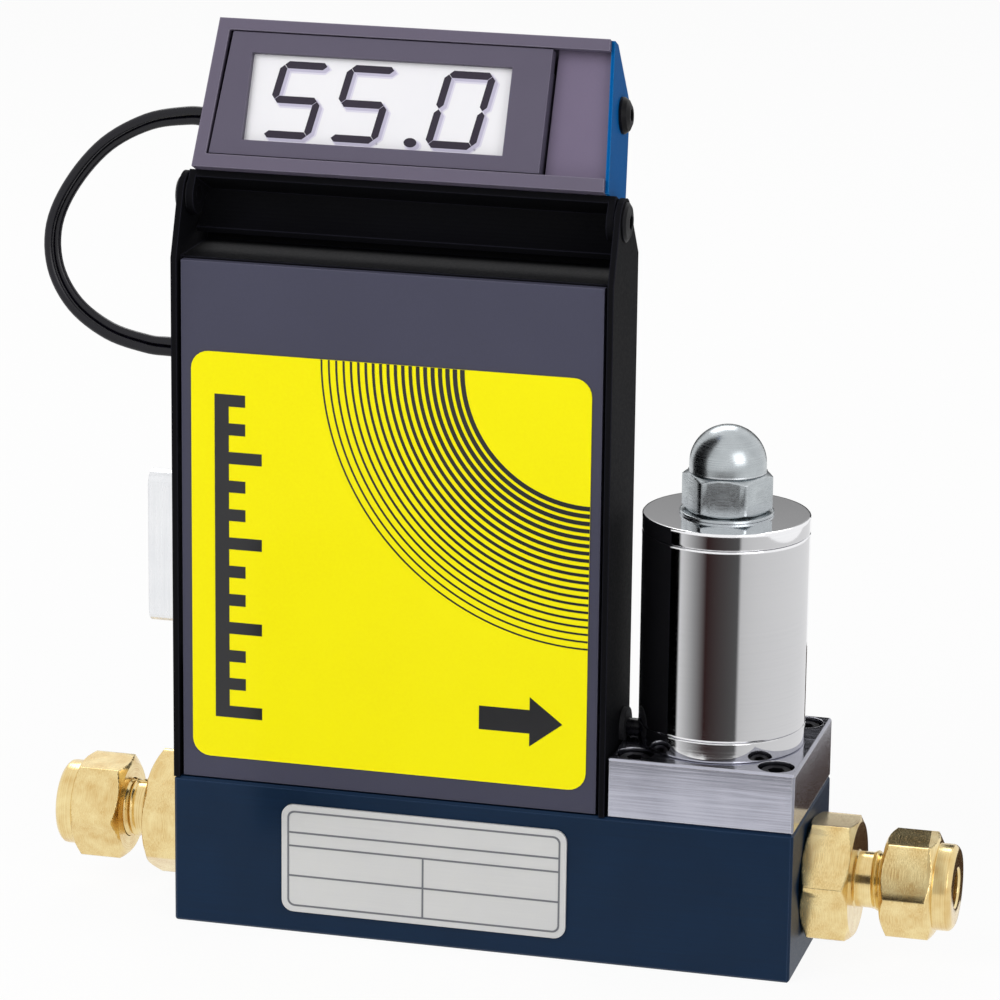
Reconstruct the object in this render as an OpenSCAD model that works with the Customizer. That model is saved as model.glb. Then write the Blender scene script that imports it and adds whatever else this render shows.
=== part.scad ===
// Thermal mass flow controller: a flow block with brass tube fittings, a sensor
// housing that carries a tilting readout, and a normally closed solenoid valve.
// X runs along the flow from inlet to outlet, Y from the front to the back and
// Z up. The origin is the centre of the flow block's bottom face.

/* [Flow block] */
// Length of the flow block along the flow
block_l = 104.9; // [100:0.1:112]
// Depth of the flow block, front to back
block_d = 31.75; // [31:0.25:36]
// Height of the flow block
block_h = 25.4; // [25:0.1:30]
// Broken edge on the machined blocks
block_chamfer = 0.4; // [0.2:0.1:0.8]
// Height of the flow axis above the bottom face
axis_z = 13.5; // [13:0.1:14]
// Diameter of the threaded port in each end face
port_d = 13; // [12:0.1:13.6]
// Depth of the threaded port in each end face
port_depth = 10; // [9:0.5:12]
// Diameter of the bore that holds the flow restrictor
main_bore_d = 9; // [8:0.1:9.6]
// Diameter of the small drilled gas passages
passage_d = 1.8; // [1.4:0.1:2]
// Distance between the two tapped holes in the bottom face
foot_hole_pitch = 63.5; // [50:0.5:70]
// Tapping diameter of the bottom holes
foot_hole_d = 3.5; // [3:0.1:4.2]
// Depth of the bottom holes
foot_hole_depth = 6.5; // [5:0.5:7]

/* [Tube fittings] */
// Outside diameter of the tube that the fittings take
tube_d = 6.35; // [6:0.05:6.6]
// Diametral clearance of the tube in its socket
tube_clearance = 0.1; // [0.06:0.02:0.2]
// Width across the flats of the fitting body
body_flats = 19.05; // [17:0.05:21]
// Thickness of the fitting body's hexagon
body_hex_l = 8; // [7:0.5:10]
// Width across the flats of the fitting nut
nut_flats = 15.875; // [15:0.025:17.5]
// Length of the fitting nut's hexagon
nut_hex_l = 8.6; // [8:0.1:10]
// Diameter of the round collar at the nut's outer end
nut_collar_d = 14.3; // [13:0.1:14.8]
// Length of the round collar
nut_collar_l = 3.1; // [2.5:0.1:4]
// Thread diameter between the body and the nut
neck_thread_d = 10; // [9.8:0.1:10.4]
// Diameter of the plain neck behind the thread
neck_d = 9.2; // [8.8:0.1:9.4]
// Length of neck and thread seen between the body and the nut
neck_gap = 4.8; // [4:0.1:6]

/* [Sensor housing] */
// Width of the housing along the flow
house_w = 73.6; // [72:0.1:73.8]
// Depth of the housing, front to back
house_d = 17; // [16.6:0.1:20]
// Height of the housing's top above the bottom face
house_top = 113.6; // [112:0.1:120]
// Thickness of the folded sheet
sheet_t = 1; // [0.8:0.1:1.2]
// Thickness of the front cover
cover_t = 1.5; // [1.2:0.1:1.8]
// Step from the cheeks' front edges back to the cover
cover_step = 0.5; // [0.3:0.1:0.8]
// Gap round the front cover
cover_gap = 0.6; // [0.3:0.1:1]
// Width of the front label
label_w = 67; // [50:0.5:69]
// Height of the front label
label_h = 69; // [60:0.5:76]
// Corner radius of the front label
label_r = 3; // [1:0.5:6]
// Width of the plate on the flow block
plate_w = 48.6; // [40:0.2:60]
// Height of the plate on the flow block
plate_h = 18.7; // [16:0.1:20]

/* [Solenoid valve] */
// Width of the valve base along the flow
valve_w = 31; // [30.2:0.1:31.1]
// Height of the valve base
valve_h = 10.2; // [9.5:0.1:12]
// Outside diameter of the solenoid
coil_d = 27.5; // [26.5:0.1:28]
// Height of the solenoid over both end discs
coil_h = 38.5; // [36:0.5:46]
// Thickness of the solenoid's lower disc
lower_disc_t = 3.4; // [3.4:0.1:4.4]
// Thickness of the solenoid's upper disc
upper_disc_t = 2.9; // [2.5:0.1:4]
// Wall of the solenoid's shell
shell_t = 1.6; // [1.2:0.1:2]
// Outside diameter of the plunger tube and its top thread
core_d = 9.4; // [9:0.1:9.8]
// Diameter of the plunger
plunger_d = 6.6; // [6:0.1:6.8]
// Lift of the plunger off its seat
plunger_lift = 0.5; // [0.3:0.05:0.8]
// Width across the flats of the acorn nut
acorn_flats = 13; // [13:0.1:15.5]
// Height of the acorn nut's hexagon
acorn_hex_h = 6.6; // [6:0.1:8]
// Diameter of the acorn nut's dome
acorn_dome_d = 12.6; // [12:0.1:12.8]

/* [Tilting readout] */
// Width of the readout case at its lower edge
case_w = 69; // [67:0.1:69.4]
// Width of the readout case at its upper edge
case_top_w = 65.6; // [64:0.1:67]
// Height of the readout's face
case_h = 24.8; // [24:0.1:27]
// Depth of the readout case
case_d = 14; // [13:0.1:14]
// Thickness of the case's folded sheet
case_t = 1.2; // [1:0.1:1.4]
// Angle that the face leans back from upright
case_lean = 24; // [20:1:28]
// Width of the meter's window
window_w = 43.4; // [40:0.2:46]
// Height of the meter's window
window_h = 14.5; // [14:0.1:15.5]
// Diameter of the pivot screws' shanks
pivot_d = 3; // [2.6:0.1:3.2]
// Diametral running clearance of the pivot screws
pivot_clearance = 0.1; // [0.04:0.02:0.18]

/* [Readout cable] */
// Diameter of the readout cable
cable_d = 3; // [2.4:0.1:3.2]

/* [Hidden] */
$fn = 64;
eps = 0.01;
deep = 200;

// Faces of the flow block
front_y = -block_d / 2;
end_x = block_l / 2;

// Tube fittings, measured outward from the block's end face
socket_d = tube_d + tube_clearance;
fitting_bore_d = 4.8;
stub_l = port_depth - 0.5;
nut_start = body_hex_l + neck_gap;
nut_hex_end = nut_start + nut_hex_l;
nut_end = nut_hex_end + nut_collar_l;
body_end = nut_hex_end - 4.4;
thread_pitch = 1.27;
thread_depth = 0.35;
plain_neck_l = 1.9;
nut_thread_clearance = 0.1;
ferrule_seat_d = tube_d + 2.4;
socket_stop = 3;
o_ring_wire = 1.4;
o_ring_squash = 0.1;
inlet_body_turn = 3;
outlet_body_turn = 24;
inlet_nut_turn = 28.5;
outlet_nut_turn = 31;

// Sensor housing
house_x0 = -end_x;
house_x1 = house_x0 + house_w;
house_x = (house_x0 + house_x1) / 2;
house_y1 = front_y + house_d;
house_mid_y = front_y + house_d / 2;
cover_y = front_y + cover_step;
cover_back_y = cover_y + cover_t;
cover_w = house_w - 2 * sheet_t - 2 * cover_gap;
cover_z0 = block_h + 0.3;
cover_z1 = house_top - 0.3;
label_t = 0.2;
print_t = 0.06;
label_z = cover_z0 + 38.3;
plate_x = house_x + 6.4;
plate_t = 0.5;
plate_z = block_h / 2 + 0.5;
pivot_y = front_y + 7.4;
pivot_z = house_top + 9.2;
ear_r = 3.8;
neck_top = pivot_z - 6.9;

// Main board and its spacers
board_gap = 0.7;
board_t = 1.6;
board_y = cover_back_y + board_gap;
board_back_y = board_y + board_t;
board_w = house_w - 8;
board_z0 = block_h + 16;
board_z1 = house_top - 5;
spacer_d = 4.4;
spacer_x = board_w / 2 - 4;
spacer_z0 = board_z0 + 4;
spacer_z1 = board_z1 - 15;
house_screw_d = 2.2;

// Sensor
sensor_x = house_x + 4;
sensor_w = 32;
sensor_h = 8;
sensor_tube_d = 1.2;
sensor_bend = 3;
sensor_top = 26;
passage_back = 3.625;
passage_y = house_y1 - sheet_t - passage_back;
sensor_d = 10;
sensor_y = passage_y - 2.4;
sensor_cover_t = 1;
sensor_cover_gap = 0.4;
sensor_back_gap = 0.4;
sensor_screw_edge = 2.6;
sensor_screw_x = sensor_w / 2 - sensor_screw_edge;
sensor_head_d = 3.8;
sensor_head_gap = 0.5;
sensor_cover_w = 2 * (sensor_screw_x - sensor_head_gap) - sensor_head_d;
sensor_leg = sensor_cover_w / 2 - sensor_cover_t - sensor_cover_gap - sensor_tube_d / 2;

// Connector in the left cheek, a 15-way D-subminiature plug
d_sub_l = 25;
d_sub_w = 8.4;
d_sub_r = 2.4;
d_sub_reach = 5.6;
d_sub_t = 0.5;
d_sub_slant = 10;
d_sub_z = block_h + 37.9;
d_sub_flange_l = 39.1;
d_sub_flange_w = 12.4;
d_sub_screw_pitch = 33.3;
d_sub_screw_d = 2.8;
pin_pitch = 2.74;
pin_rows = 2.84;
pin_d = 1;

// Solenoid valve
valve_x = end_x - valve_w / 2;
valve_z0 = block_h;
valve_z1 = valve_z0 + valve_h;
valve_screw_edge = 3.8;
counterbore_d = 6;
counterbore_h = 3.6;
screw_head_d = 5.4;
screw_head_h = 3;
screw_d = 2.9;
screw_l = 16;
coil_z1 = valve_z1 + coil_h;
shell_z0 = valve_z1 + lower_disc_t;
shell_z1 = coil_z1 - upper_disc_t;
core_z0 = valve_z0 + 3;
seat_d = 5;
seat_h = 4;
seat_top = valve_z0 + seat_h;
orifice_d = 1.2;
plunger_clearance = 0.1;
plunger_h = 22;
spring_pocket_d = 5;
spring_pocket_h = 4.4;
spring_wire = 0.6;
spring_turns = 5;
plunger_play = plunger_lift + 0.1;
pole_pocket_h = 1.2;
bobbin_gap = 0.2;
bobbin_t = 1;
bobbin_flange_t = 1.2;
bobbin_r = coil_d / 2 - shell_t - bobbin_gap;
winding_margin = 0.6;
washer_t = 0.5;
washer_d = 15.4;
acorn_z = coil_z1 + washer_t;
acorn_neck_h = 1.2;
acorn_turn = 6;
seam = 0.25;

// Lead from the coil to the main board
lead_d = 3;
lead_z = valve_z1 + lead_d / 2 + 0.1;
lead_y = house_y1 - sheet_t - 3.5;
lead_inner_x = house_x1 - 8;
grommet_lip = 0.8;
grommet_wall = 0.9;
lip_flat_gap = 0.05;

// Readout, in the face's own frame: across, back from the face, up the face
case_y = front_y + 4.1;
case_z = house_top + 14.5;
end_plate_t = 0.6;
lip_top_h = 1.9;
lip_bottom_h = 2.2;
lip_left_w = 2;
case_fold = 2;
case_roof_l = 3.4;
case_roof_drop = 6.4;
panel_recess = 2.5;
panel_t = 1.5;
bezel_gap = 0.3;
bezel_w = 55;
bezel_side_gap = 0.5;
bezel_recess = 0.3;
bezel_d = 6;
bezel_frame_d = 2.4;
bezel_shoulder = 3.4;
glass_recess = 1.2;
glass_t = 1.1;
window_offset = 5.3;
window_lift = 2.5;
digit_t = 0.05;
digit_h = 12.8;
digit_w = 8.4;
digit_stroke = 1.2;
digit_slant = 10.5;
digit_gap = 0.06;
bracket_t = 1.2;
bracket_play = 0.3;
washer_play = 0.04;
ear_turn_r = 3.2;
pivot_head_d = 6.4;
pivot_head_h = 0.9;
case_screw_d = 2.5;
case_screw_head_d = 6;
case_screw_head_h = 1.6;
case_tab_t = 3;
case_tab_r = 3;
case_screw_up = 14.5;
case_screw_back = 8.5;
cable_up = 9.7;
cable_back = 6.5;

// Passages and what sits in them
passage_offset = 8;
bore_end_x = valve_x - passage_offset + passage_d / 2;
outlet_start_x = valve_x - seat_d / 2 + 0.8;
screen_t = 1.2;
restrictor_gap = 3;
ferrule_d = ferrule_seat_d + 0.2;
front_ferrule_l = 1.8;
back_ferrule_l = 1.2;
ferrule_l = front_ferrule_l + back_ferrule_l;
seal_d = passage_d + 2.4;
seal_groove = 0.9;
cross_d = 1.2;
cross_z = core_z0 + 0.9;

// Pivot and meter in the face's frame
pivot_back = (pivot_y - case_y) * cos(case_lean) - (pivot_z - case_z) * sin(case_lean);
pivot_up = (pivot_y - case_y) * sin(case_lean) + (pivot_z - case_z) * cos(case_lean);
bezel_x0 = -half_w(0) + lip_left_w + bezel_side_gap;
bezel_x1 = bezel_x0 + bezel_w;
bezel_z0 = lip_bottom_h + 0.2;
bezel_z1 = case_h - lip_top_h - 0.2;
window_x = bezel_x0 + window_offset + window_w / 2;
window_z = bezel_z0 + window_lift + window_h / 2;
skirt_r = 7.2;
skirt_t = 1;

// Route of the readout cable, from the readout round to the housing
CABLE = [
    [-50.6, -2.1, 134.3], [-54, -2.1, 134.3], [-60.5, -2.6, 133], [-67.5, -3.4, 129],
    [-73, -4.4, 122.5], [-76, -5.4, 115.5], [-75.6, -6.2, 108.5], [-72, -6.9, 102.6],
    [-66, -7.3, 98.6], [-59.5, -7.4, 96.9], [-56, -7.4, 96.7], [-53.6, -7.4, 96.7]
];
cable_sides = 8;
housing_grommet_z = 96.7;
grommet_gap = 0.3;

// ---------------------------------------------------------------- helpers

function unit(v) = v / norm(v);

// Points of an arc about c, radius r, from angle a0 to a1 in n steps
function arc(c, r, a0, a1, n = 6) =
    [for (i = [0 : n]) c + r * [cos(a0 + (a1 - a0) * i / n), sin(a0 + (a1 - a0) * i / n)]];

// Rectangle w by h about the origin with corners of radius r
function round_rect(w, h, r, n = 6) = concat(
    arc([w / 2 - r, h / 2 - r], r, 0, 90, n), arc([-w / 2 + r, h / 2 - r], r, 90, 180, n),
    arc([-w / 2 + r, -h / 2 + r], r, 180, 270, n), arc([w / 2 - r, -h / 2 + r], r, 270, 360, n));

// D-subminiature outline: long side at -y, both ends slanting in towards +y
function d_outline(l, w, r) =
    let (s = w / 2 * tan(d_sub_slant), a = d_sub_slant)
    concat(
        arc([l / 2 - s - r * 1.1, w / 2 - r], r, a, 90, 5),
        arc([-l / 2 + s + r * 1.1, w / 2 - r], r, 90, 180 - a, 5),
        arc([-l / 2 - s + r * 1.1, -w / 2 + r], r, 180 - a, 270, 5),
        arc([l / 2 + s - r * 1.1, -w / 2 + r], r, 270, 360 + a, 5));

module chamfer_rect(w, h, c) {
    x = w / 2;
    y = h / 2;
    polygon([
        [x - c, -y], [x, -y + c], [x, y - c], [x - c, y],
        [-x + c, y], [-x, y - c], [-x, -y + c], [-x + c, -y]
    ]);
}

// Box centred on the origin with every edge broken by c
module chamfer_box(size, c) {
    intersection() {
        linear_extrude(size[2], center = true) chamfer_rect(size[0], size[1], c);
        rotate([90, 0, 0]) linear_extrude(size[1], center = true) chamfer_rect(size[0], size[2], c);
        rotate([90, 0, 90]) linear_extrude(size[0], center = true) chamfer_rect(size[1], size[2], c);
    }
}

// Box from corner a to corner b
module span(a, b) {
    translate(a) cube(b - a);
}

module ring(outer_d, inner_d, h) {
    difference() {
        cylinder(h = h, d = outer_d);
        translate([0, 0, -eps]) cylinder(h = h + 2 * eps, d = inner_d);
    }
}

// Hexagonal prism whose corners are turned away at 30 degrees at each end
module turned_hex(flats, h, lower_d, upper_d) {
    corner = flats / sqrt(3) + eps;
    lower = (corner - lower_d / 2) * tan(30);
    upper = (corner - upper_d / 2) * tan(30);
    intersection() {
        cylinder(h = h, r = flats / sqrt(3), $fn = 6);
        rotate_extrude() polygon([
            [0, 0], [lower_d / 2, 0], [corner, lower], [corner, h - upper], [upper_d / 2, h], [0, h]
        ]);
    }
}

// Socket head cap screw hanging down from the underside of its head
module cap_screw(d, l, head_d, head_h, socket) {
    difference() {
        union() {
            rotate_extrude() polygon([
                [0, 0], [head_d / 2, 0], [head_d / 2, head_h - 0.3], [head_d / 2 - 0.3, head_h],
                [0, head_h]
            ]);
            translate([0, 0, -l]) cylinder(h = l + eps, d = d);
        }
        translate([0, 0, head_h / 2]) cylinder(h = head_h, d = socket / cos(30), $fn = 6);
    }
}

// Domed head on the plane z = 0, with a hexagon socket, over a shank of length l
module button_screw(d, l, head_d, head_h, socket) {
    difference() {
        union() {
            rotate_extrude() polygon([
                [0, 0], [head_d / 2, 0], [head_d / 2, head_h * 0.3], [head_d * 0.42, head_h * 0.72],
                [head_d * 0.27, head_h], [0, head_h]
            ]);
            translate([0, 0, -l]) cylinder(h = l + eps, d = d);
        }
        translate([0, 0, head_h * 0.35]) cylinder(h = head_h, d = socket / cos(30), $fn = 6);
    }
}

// Countersunk screw with its flat head's face on the plane z = 0
module flat_screw(d, l, head_d, slot) {
    cone = (head_d - d) / 2;
    difference() {
        rotate_extrude() polygon([
            [0, 0], [head_d / 2, 0], [d / 2, -cone], [d / 2, -l], [0, -l]
        ]);
        cube([head_d + 1, slot, cone], center = true);
    }
}

// Tube swept round a list of points, with its rings square to the route
function along(p, i) = unit(
    i == 0 ? p[1] - p[0] :
    i == len(p) - 1 ? p[i] - p[i - 1] : unit(p[i + 1] - p[i]) + unit(p[i] - p[i - 1]));

function ring_at(p, i, r, n, side) =
    let (t = along(p, i), u = unit(cross(t, side)), v = cross(u, t))
    [for (k = [0 : n - 1]) p[i] + r * (cos(360 * k / n) * u + sin(360 * k / n) * v)];

module swept_tube(p, r, n, side) {
    m = len(p);
    points = [for (i = [0 : m - 1]) each ring_at(p, i, r, n, side)];
    walls = [
        for (i = [0 : m - 2], k = [0 : n - 1])
            let (k2 = (k + 1) % n)
            [i * n + k, i * n + k2, (i + 1) * n + k2, (i + 1) * n + k]
    ];
    first = [for (k = [n - 1 : -1 : 0]) k];
    last = [for (k = [0 : n - 1]) (m - 1) * n + k];
    polyhedron(points, concat(walls, [first, last]), convexity = 6);
}

// ------------------------------------------------------------- flow block

module flow_block() {
    color("#1B2F4A") difference() {
        translate([0, 0, block_h / 2]) chamfer_box([block_l, block_d, block_h], block_chamfer);
        for (side = [-1, 1])
            translate([side * (end_x - port_depth / 2 + eps), 0, axis_z])
                rotate([0, 90, 0]) cylinder(h = port_depth + 2 * eps, d = port_d, center = true);
        main_bore();
        outlet_bore();
        for (side = [-1, 1])
            translate([sensor_x + side * sensor_leg, passage_y, axis_z])
                cylinder(h = block_h, d = passage_d);
        translate([valve_x - passage_offset, 0, axis_z]) cylinder(h = block_h, d = passage_d);
        translate([valve_x, 0, axis_z - 2]) cylinder(h = block_h, d = seat_d - 1.6);
        for (side = [-1, 1])
            translate([side * foot_hole_pitch / 2, 0, -eps])
                cylinder(h = foot_hole_depth + eps, d = foot_hole_d);
        valve_screw_places() translate([0, 0, valve_z1 - counterbore_h - screw_l])
            cylinder(h = deep, d = screw_d);
        sensor_screw_places() translate([0, 0, block_h - 6]) cylinder(h = deep, d = house_screw_d);
        house_screw_places() translate([0, 0, -6]) cylinder(h = deep, d = house_screw_d);
    }
}

module main_bore() {
    x0 = -end_x + port_depth - eps;
    translate([x0, 0, axis_z]) rotate([0, 90, 0]) cylinder(h = bore_end_x - x0, d = main_bore_d);
}

module outlet_bore() {
    translate([outlet_start_x, 0, axis_z - 2])
        rotate([0, 90, 0]) cylinder(h = end_x - outlet_start_x, d = seat_d - 1.6);
}

module inlet_screen() {
    color("#9A9A98") translate([-end_x + port_depth + 1, 0, axis_z])
        rotate([0, 90, 0]) cylinder(h = screen_t, d = main_bore_d);
}

// Plug with straight grooves round it, which splits the flow evenly
module flow_restrictor() {
    x0 = -end_x + port_depth + 1 + screen_t + restrictor_gap;
    l = bore_end_x - x0 - 6;
    grooves = 12;
    color("#C9CBD0") translate([x0, 0, axis_z]) rotate([0, 90, 0]) difference() {
        cylinder(h = l, d = main_bore_d);
        for (i = [0 : grooves - 1])
            rotate(i * 360 / grooves) translate([main_bore_d / 2 - 0.8, -0.3, -eps])
                cube([main_bore_d, 0.6, l + 2 * eps]);
        for (side = [-1, 1]) translate([0, 0, sensor_x + side * sensor_leg - x0 - 1])
            ring(main_bore_d + 2, main_bore_d - 1.6, 2);
    }
}

// --------------------------------------------------------- tube fittings

// Frame at an end face with z pointing outward; side is -1 inlet, 1 outlet
module at_port(side) {
    translate([side * end_x, 0, axis_z]) rotate([0, side * 90, 0]) children();
}

function thread_profile(z0, z1) =
    let (n = floor((z1 - z0) / thread_pitch), r = neck_thread_d / 2)
    [for (i = [0 : n - 1]) each [
        [r - thread_depth, z0 + i * thread_pitch],
        [r, z0 + (i + 0.5) * thread_pitch]
    ]];

module fitting_body(turn) {
    color("#D9AE5C") difference() {
        union() {
            rotate(turn) turned_hex(body_flats, body_hex_l, body_flats - 1.6, body_flats - 0.6);
            translate([0, 0, -stub_l]) cylinder(h = stub_l + 1, d = port_d);
            rotate_extrude() polygon(concat(
                [[0, 1], [neck_d / 2, 1], [neck_d / 2, body_hex_l + plain_neck_l]],
                thread_profile(body_hex_l + plain_neck_l, body_end),
                [[ferrule_seat_d / 2 + 0.6, body_end], [0, body_end]]));
        }
        translate([0, 0, -port_depth]) cylinder(h = deep, d = fitting_bore_d);
        translate([0, 0, socket_stop]) cylinder(h = deep, d = socket_d);
        rotate_extrude() polygon([
            [0, body_end - 1.6], [socket_d / 2, body_end - 1.6], [ferrule_seat_d / 2, body_end],
            [ferrule_seat_d / 2, body_end + 1], [0, body_end + 1]
        ]);
        translate([0, 0, -eps]) rotate_extrude()
            translate([port_d / 2, 0]) square([o_ring_wire, o_ring_wire - o_ring_squash + eps]);
    }
}

module inlet_fitting_body() {
    at_port(-1) fitting_body(inlet_body_turn);
}

module outlet_fitting_body() {
    at_port(1) fitting_body(outlet_body_turn);
}

// Square-cornered seal pressed into the groove under each hexagon
module fitting_o_rings() {
    color("#202020") for (side = [-1, 1]) at_port(side)
        ring(port_d + 2 * o_ring_wire, port_d, o_ring_wire - o_ring_squash);
}

module fitting_nut(turn) {
    color("#D6A24A") difference() {
        union() {
            translate([0, 0, nut_start]) rotate(turn)
                turned_hex(nut_flats, nut_hex_l, nut_flats - 1.8, nut_flats - 0.8);
            translate([0, 0, nut_hex_end - 1]) rotate_extrude() polygon([
                [0, 0], [nut_collar_d / 2, 0], [nut_collar_d / 2, nut_collar_l + 0.2],
                [nut_collar_d / 2 - 0.8, nut_collar_l + 1], [0, nut_collar_l + 1]
            ]);
        }
        translate([0, 0, nut_start - 1])
            cylinder(h = body_end - nut_start + 1, d = neck_thread_d + nut_thread_clearance);
        translate([0, 0, body_end - eps])
            cylinder(h = ferrule_l + eps, d = ferrule_d + nut_thread_clearance);
        cylinder(h = deep, d = socket_d);
    }
}

module inlet_nut() {
    at_port(-1) fitting_nut(inlet_nut_turn);
}

module outlet_nut() {
    at_port(1) fitting_nut(outlet_nut_turn);
}

// Cone-nosed sleeve that seats in the mouth of the fitting body
module front_ferrules() {
    color("#C8963C") for (side = [-1, 1]) at_port(side) translate([0, 0, body_end])
        rotate_extrude() polygon([
            [socket_d / 2, -1.5], [ferrule_seat_d / 2 - 0.06, 0], [ferrule_d / 2, 0.1],
            [ferrule_d / 2, front_ferrule_l], [socket_d / 2, front_ferrule_l]
        ]);
}

module back_ferrules() {
    color("#B8862C") for (side = [-1, 1]) at_port(side)
        translate([0, 0, body_end + front_ferrule_l]) ring(ferrule_d, socket_d, back_ferrule_l);
}

// ---------------------------------------------------------------- housing

// Frame on the front at height z: x across, y up, z out towards the front
module on_front(x, y, z) {
    translate([x, y, z]) rotate([90, 0, 0]) children();
}

module nameplate() {
    color("#E3E3E3") on_front(plate_x, front_y, plate_z)
        linear_extrude(plate_t) polygon(round_rect(plate_w, plate_h, 2));
}

// Plain ruled table: a frame, three rows and a divider
module nameplate_print() {
    inset = 1;
    line = 0.3;
    w = plate_w - 2 * inset;
    h = plate_h - 2 * inset;
    row = h / 3.2;
    color("#303030") on_front(plate_x, front_y - plate_t, plate_z) linear_extrude(print_t) {
        difference() {
            polygon(round_rect(w, h, 1.2));
            polygon(round_rect(w - 2 * line, h - 2 * line, 1));
        }
        for (i = [0, 1, 2]) translate([-w / 2 + line / 2, -h / 2 + (i == 2 ? 2.45 : i + 1) * row])
            square([w - line, line]);
        translate([-line / 2, -h / 2 + line / 2]) square([line, 2 * row]);
    }
}

// Side outline of a cheek: the ear at its top carries the readout's pivot
module cheek_outline() {
    ear = [pivot_y, pivot_z];
    polygon(concat(
        [[front_y, block_h], [house_y1, block_h], [house_y1, neck_top]],
        arc(ear, ear_r, 50, 160, 10),
        [[front_y, house_top]]));
}

module cheek(x) {
    translate([x, 0, 0]) rotate([90, 0, 90]) linear_extrude(sheet_t) cheek_outline();
}

module pivot_axis() {
    translate([house_x, pivot_y, pivot_z]) rotate([0, 90, 0]) children();
}

module spacer_places() {
    for (x = [-spacer_x, spacer_x], z = [spacer_z0, spacer_z1]) on_front(house_x + x, 0, z) children();
}

module house_screw_places() {
    for (x = [house_x0 + 6, house_x1 - 6]) translate([x, house_mid_y, block_h + sheet_t]) children();
}

// Folded cover: two cheeks, the back and the top in one sheet, open at the front
module housing_wrap() {
    tab = 10;
    color("#15151C") difference() {
        union() {
            cheek(house_x0);
            cheek(house_x1 - sheet_t);
            span([house_x0, house_y1 - sheet_t, block_h], [house_x1, house_y1, neck_top]);
            span([house_x0 + sheet_t / 2, cover_back_y + cover_gap / 2, house_top - sheet_t],
                 [house_x1 - sheet_t / 2, house_y1, house_top]);
            for (x = [house_x0 + sheet_t / 2, house_x1 - tab - sheet_t / 2])
                span([x, cover_back_y + 1, block_h], [x + tab, house_y1 - sheet_t / 2, block_h + sheet_t]);
        }
        pivot_axis() cylinder(h = deep, d = pivot_d + pivot_clearance, center = true);
        translate([house_x0 - 1, house_mid_y, d_sub_z]) rotate([0, 90, 0])
            linear_extrude(3) polygon(d_outline(d_sub_l, d_sub_w, d_sub_r));
        d_sub_screw_places() cylinder(h = 6, d = d_sub_screw_d, center = true);
        translate([house_x0 - 1, house_mid_y, housing_grommet_z]) rotate([0, 90, 0])
            cylinder(h = 3, d = cable_d + 2 * grommet_wall);
        translate([house_x1 - 2, lead_y, lead_z]) rotate([0, 90, 0])
            cylinder(h = 3, d = lead_d + 2 * grommet_wall);
        house_screw_places() cylinder(h = 6, d = house_screw_d, center = true);
        spacer_places() translate([0, 0, -house_y1 - 1]) cylinder(h = 3, d = house_screw_d);
    }
}

module housing_screws() {
    color("#4A4A4A") {
        house_screw_places() button_screw(house_screw_d, 5, 4.2, 1.5, 1.3);
        spacer_places() translate([0, 0, -house_y1]) rotate([180, 0, 0])
            button_screw(house_screw_d, 5, 4.2, 1.5, 1.3);
    }
}

module front_cover() {
    color("#4A4A5C") difference() {
        span([house_x - cover_w / 2, cover_y, cover_z0], [house_x + cover_w / 2, cover_back_y, cover_z1]);
        spacer_places() translate([0, 0, -cover_y]) rotate_extrude() polygon([
            [0, 0.1], [2.2, 0.1], [2.2, 0], [house_screw_d / 2, 0 - (2.2 - house_screw_d / 2)],
            [house_screw_d / 2, -5], [0, -5]
        ]);
    }
}

module cover_screws() {
    color("#303034") spacer_places() translate([0, 0, -cover_y])
        flat_screw(house_screw_d, 6, 4.4, 0.6);
}

module front_label() {
    color("#FDF200") on_front(house_x, cover_y, label_z)
        linear_extrude(label_t) polygon(round_rect(label_w, label_h, label_r));
}

// Plain print on the label: a fan of fine arcs, a ruled scale and an arrow
module label_print() {
    margin = 4;
    arcs = 20;
    first_r = 21;
    pitch = 1.25;
    color("#141414") on_front(house_x, cover_y - label_t, label_z) linear_extrude(print_t) {
        intersection() {
            translate([label_w / 2, label_h / 2]) for (i = [0 : arcs - 1]) {
                r = first_r + i * pitch;
                difference() {
                    circle(r = r + 0.75 - i * 0.025);
                    circle(r = r);
                }
            }
            translate([-label_w / 2 + 18, -label_h / 2 + 6]) square([label_w - 18, label_h - 6]);
        }
        translate([-label_w / 2 + margin, -label_h / 2 + margin + 3]) {
            square([2.4, label_h - 2 * margin - 6]);
            for (i = [0 : 11])
                translate([0, i * (label_h - 2 * margin - 8) / 11]) square([i % 3 == 0 ? 8 : 5.2, 2]);
        }
        translate([label_w / 2 - margin - 14, -label_h / 2 + 11]) polygon([
            [0, -2], [8.5, -2], [8.5, -4.2], [14, 0], [8.5, 4.2], [8.5, 2], [0, 2]
        ]);
    }
}

// ------------------------------------------------------ board and sensor

module main_board() {
    color("#1E6B3C") difference() {
        span([house_x - board_w / 2, board_y, board_z0], [house_x + board_w / 2, board_back_y, board_z1]);
        spacer_places() translate([0, 0, -board_back_y - 1]) cylinder(h = board_t + 2, d = house_screw_d);
    }
}

module board_components() {
    parts = [
        [-14, 30, 9, 9, 1.6], [4, 32, 12, 6, 1.6], [-16, 46, 7, 12, 3], [2, 47, 8, 8, 4],
        [16, 30, 6, 10, 5], [16, 50, 6, 6, 6], [-12, 12, 14, 5, 2], [8, 12, 5, 5, 4]
    ];
    color("#26262A") for (p = parts)
        translate([house_x + p[0] - p[2] / 2 + 6, board_back_y, board_z0 + p[1] - p[3] / 2 + 14])
            cube([p[2], p[4], p[3]]);
}

module board_spacers() {
    color("#C9CBD0") spacer_places() {
        translate([0, 0, -house_y1 + sheet_t])
            ring(spacer_d, house_screw_d, house_y1 - sheet_t - board_back_y);
        translate([0, 0, -board_y]) ring(spacer_d, house_screw_d, board_gap);
    }
}

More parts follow.
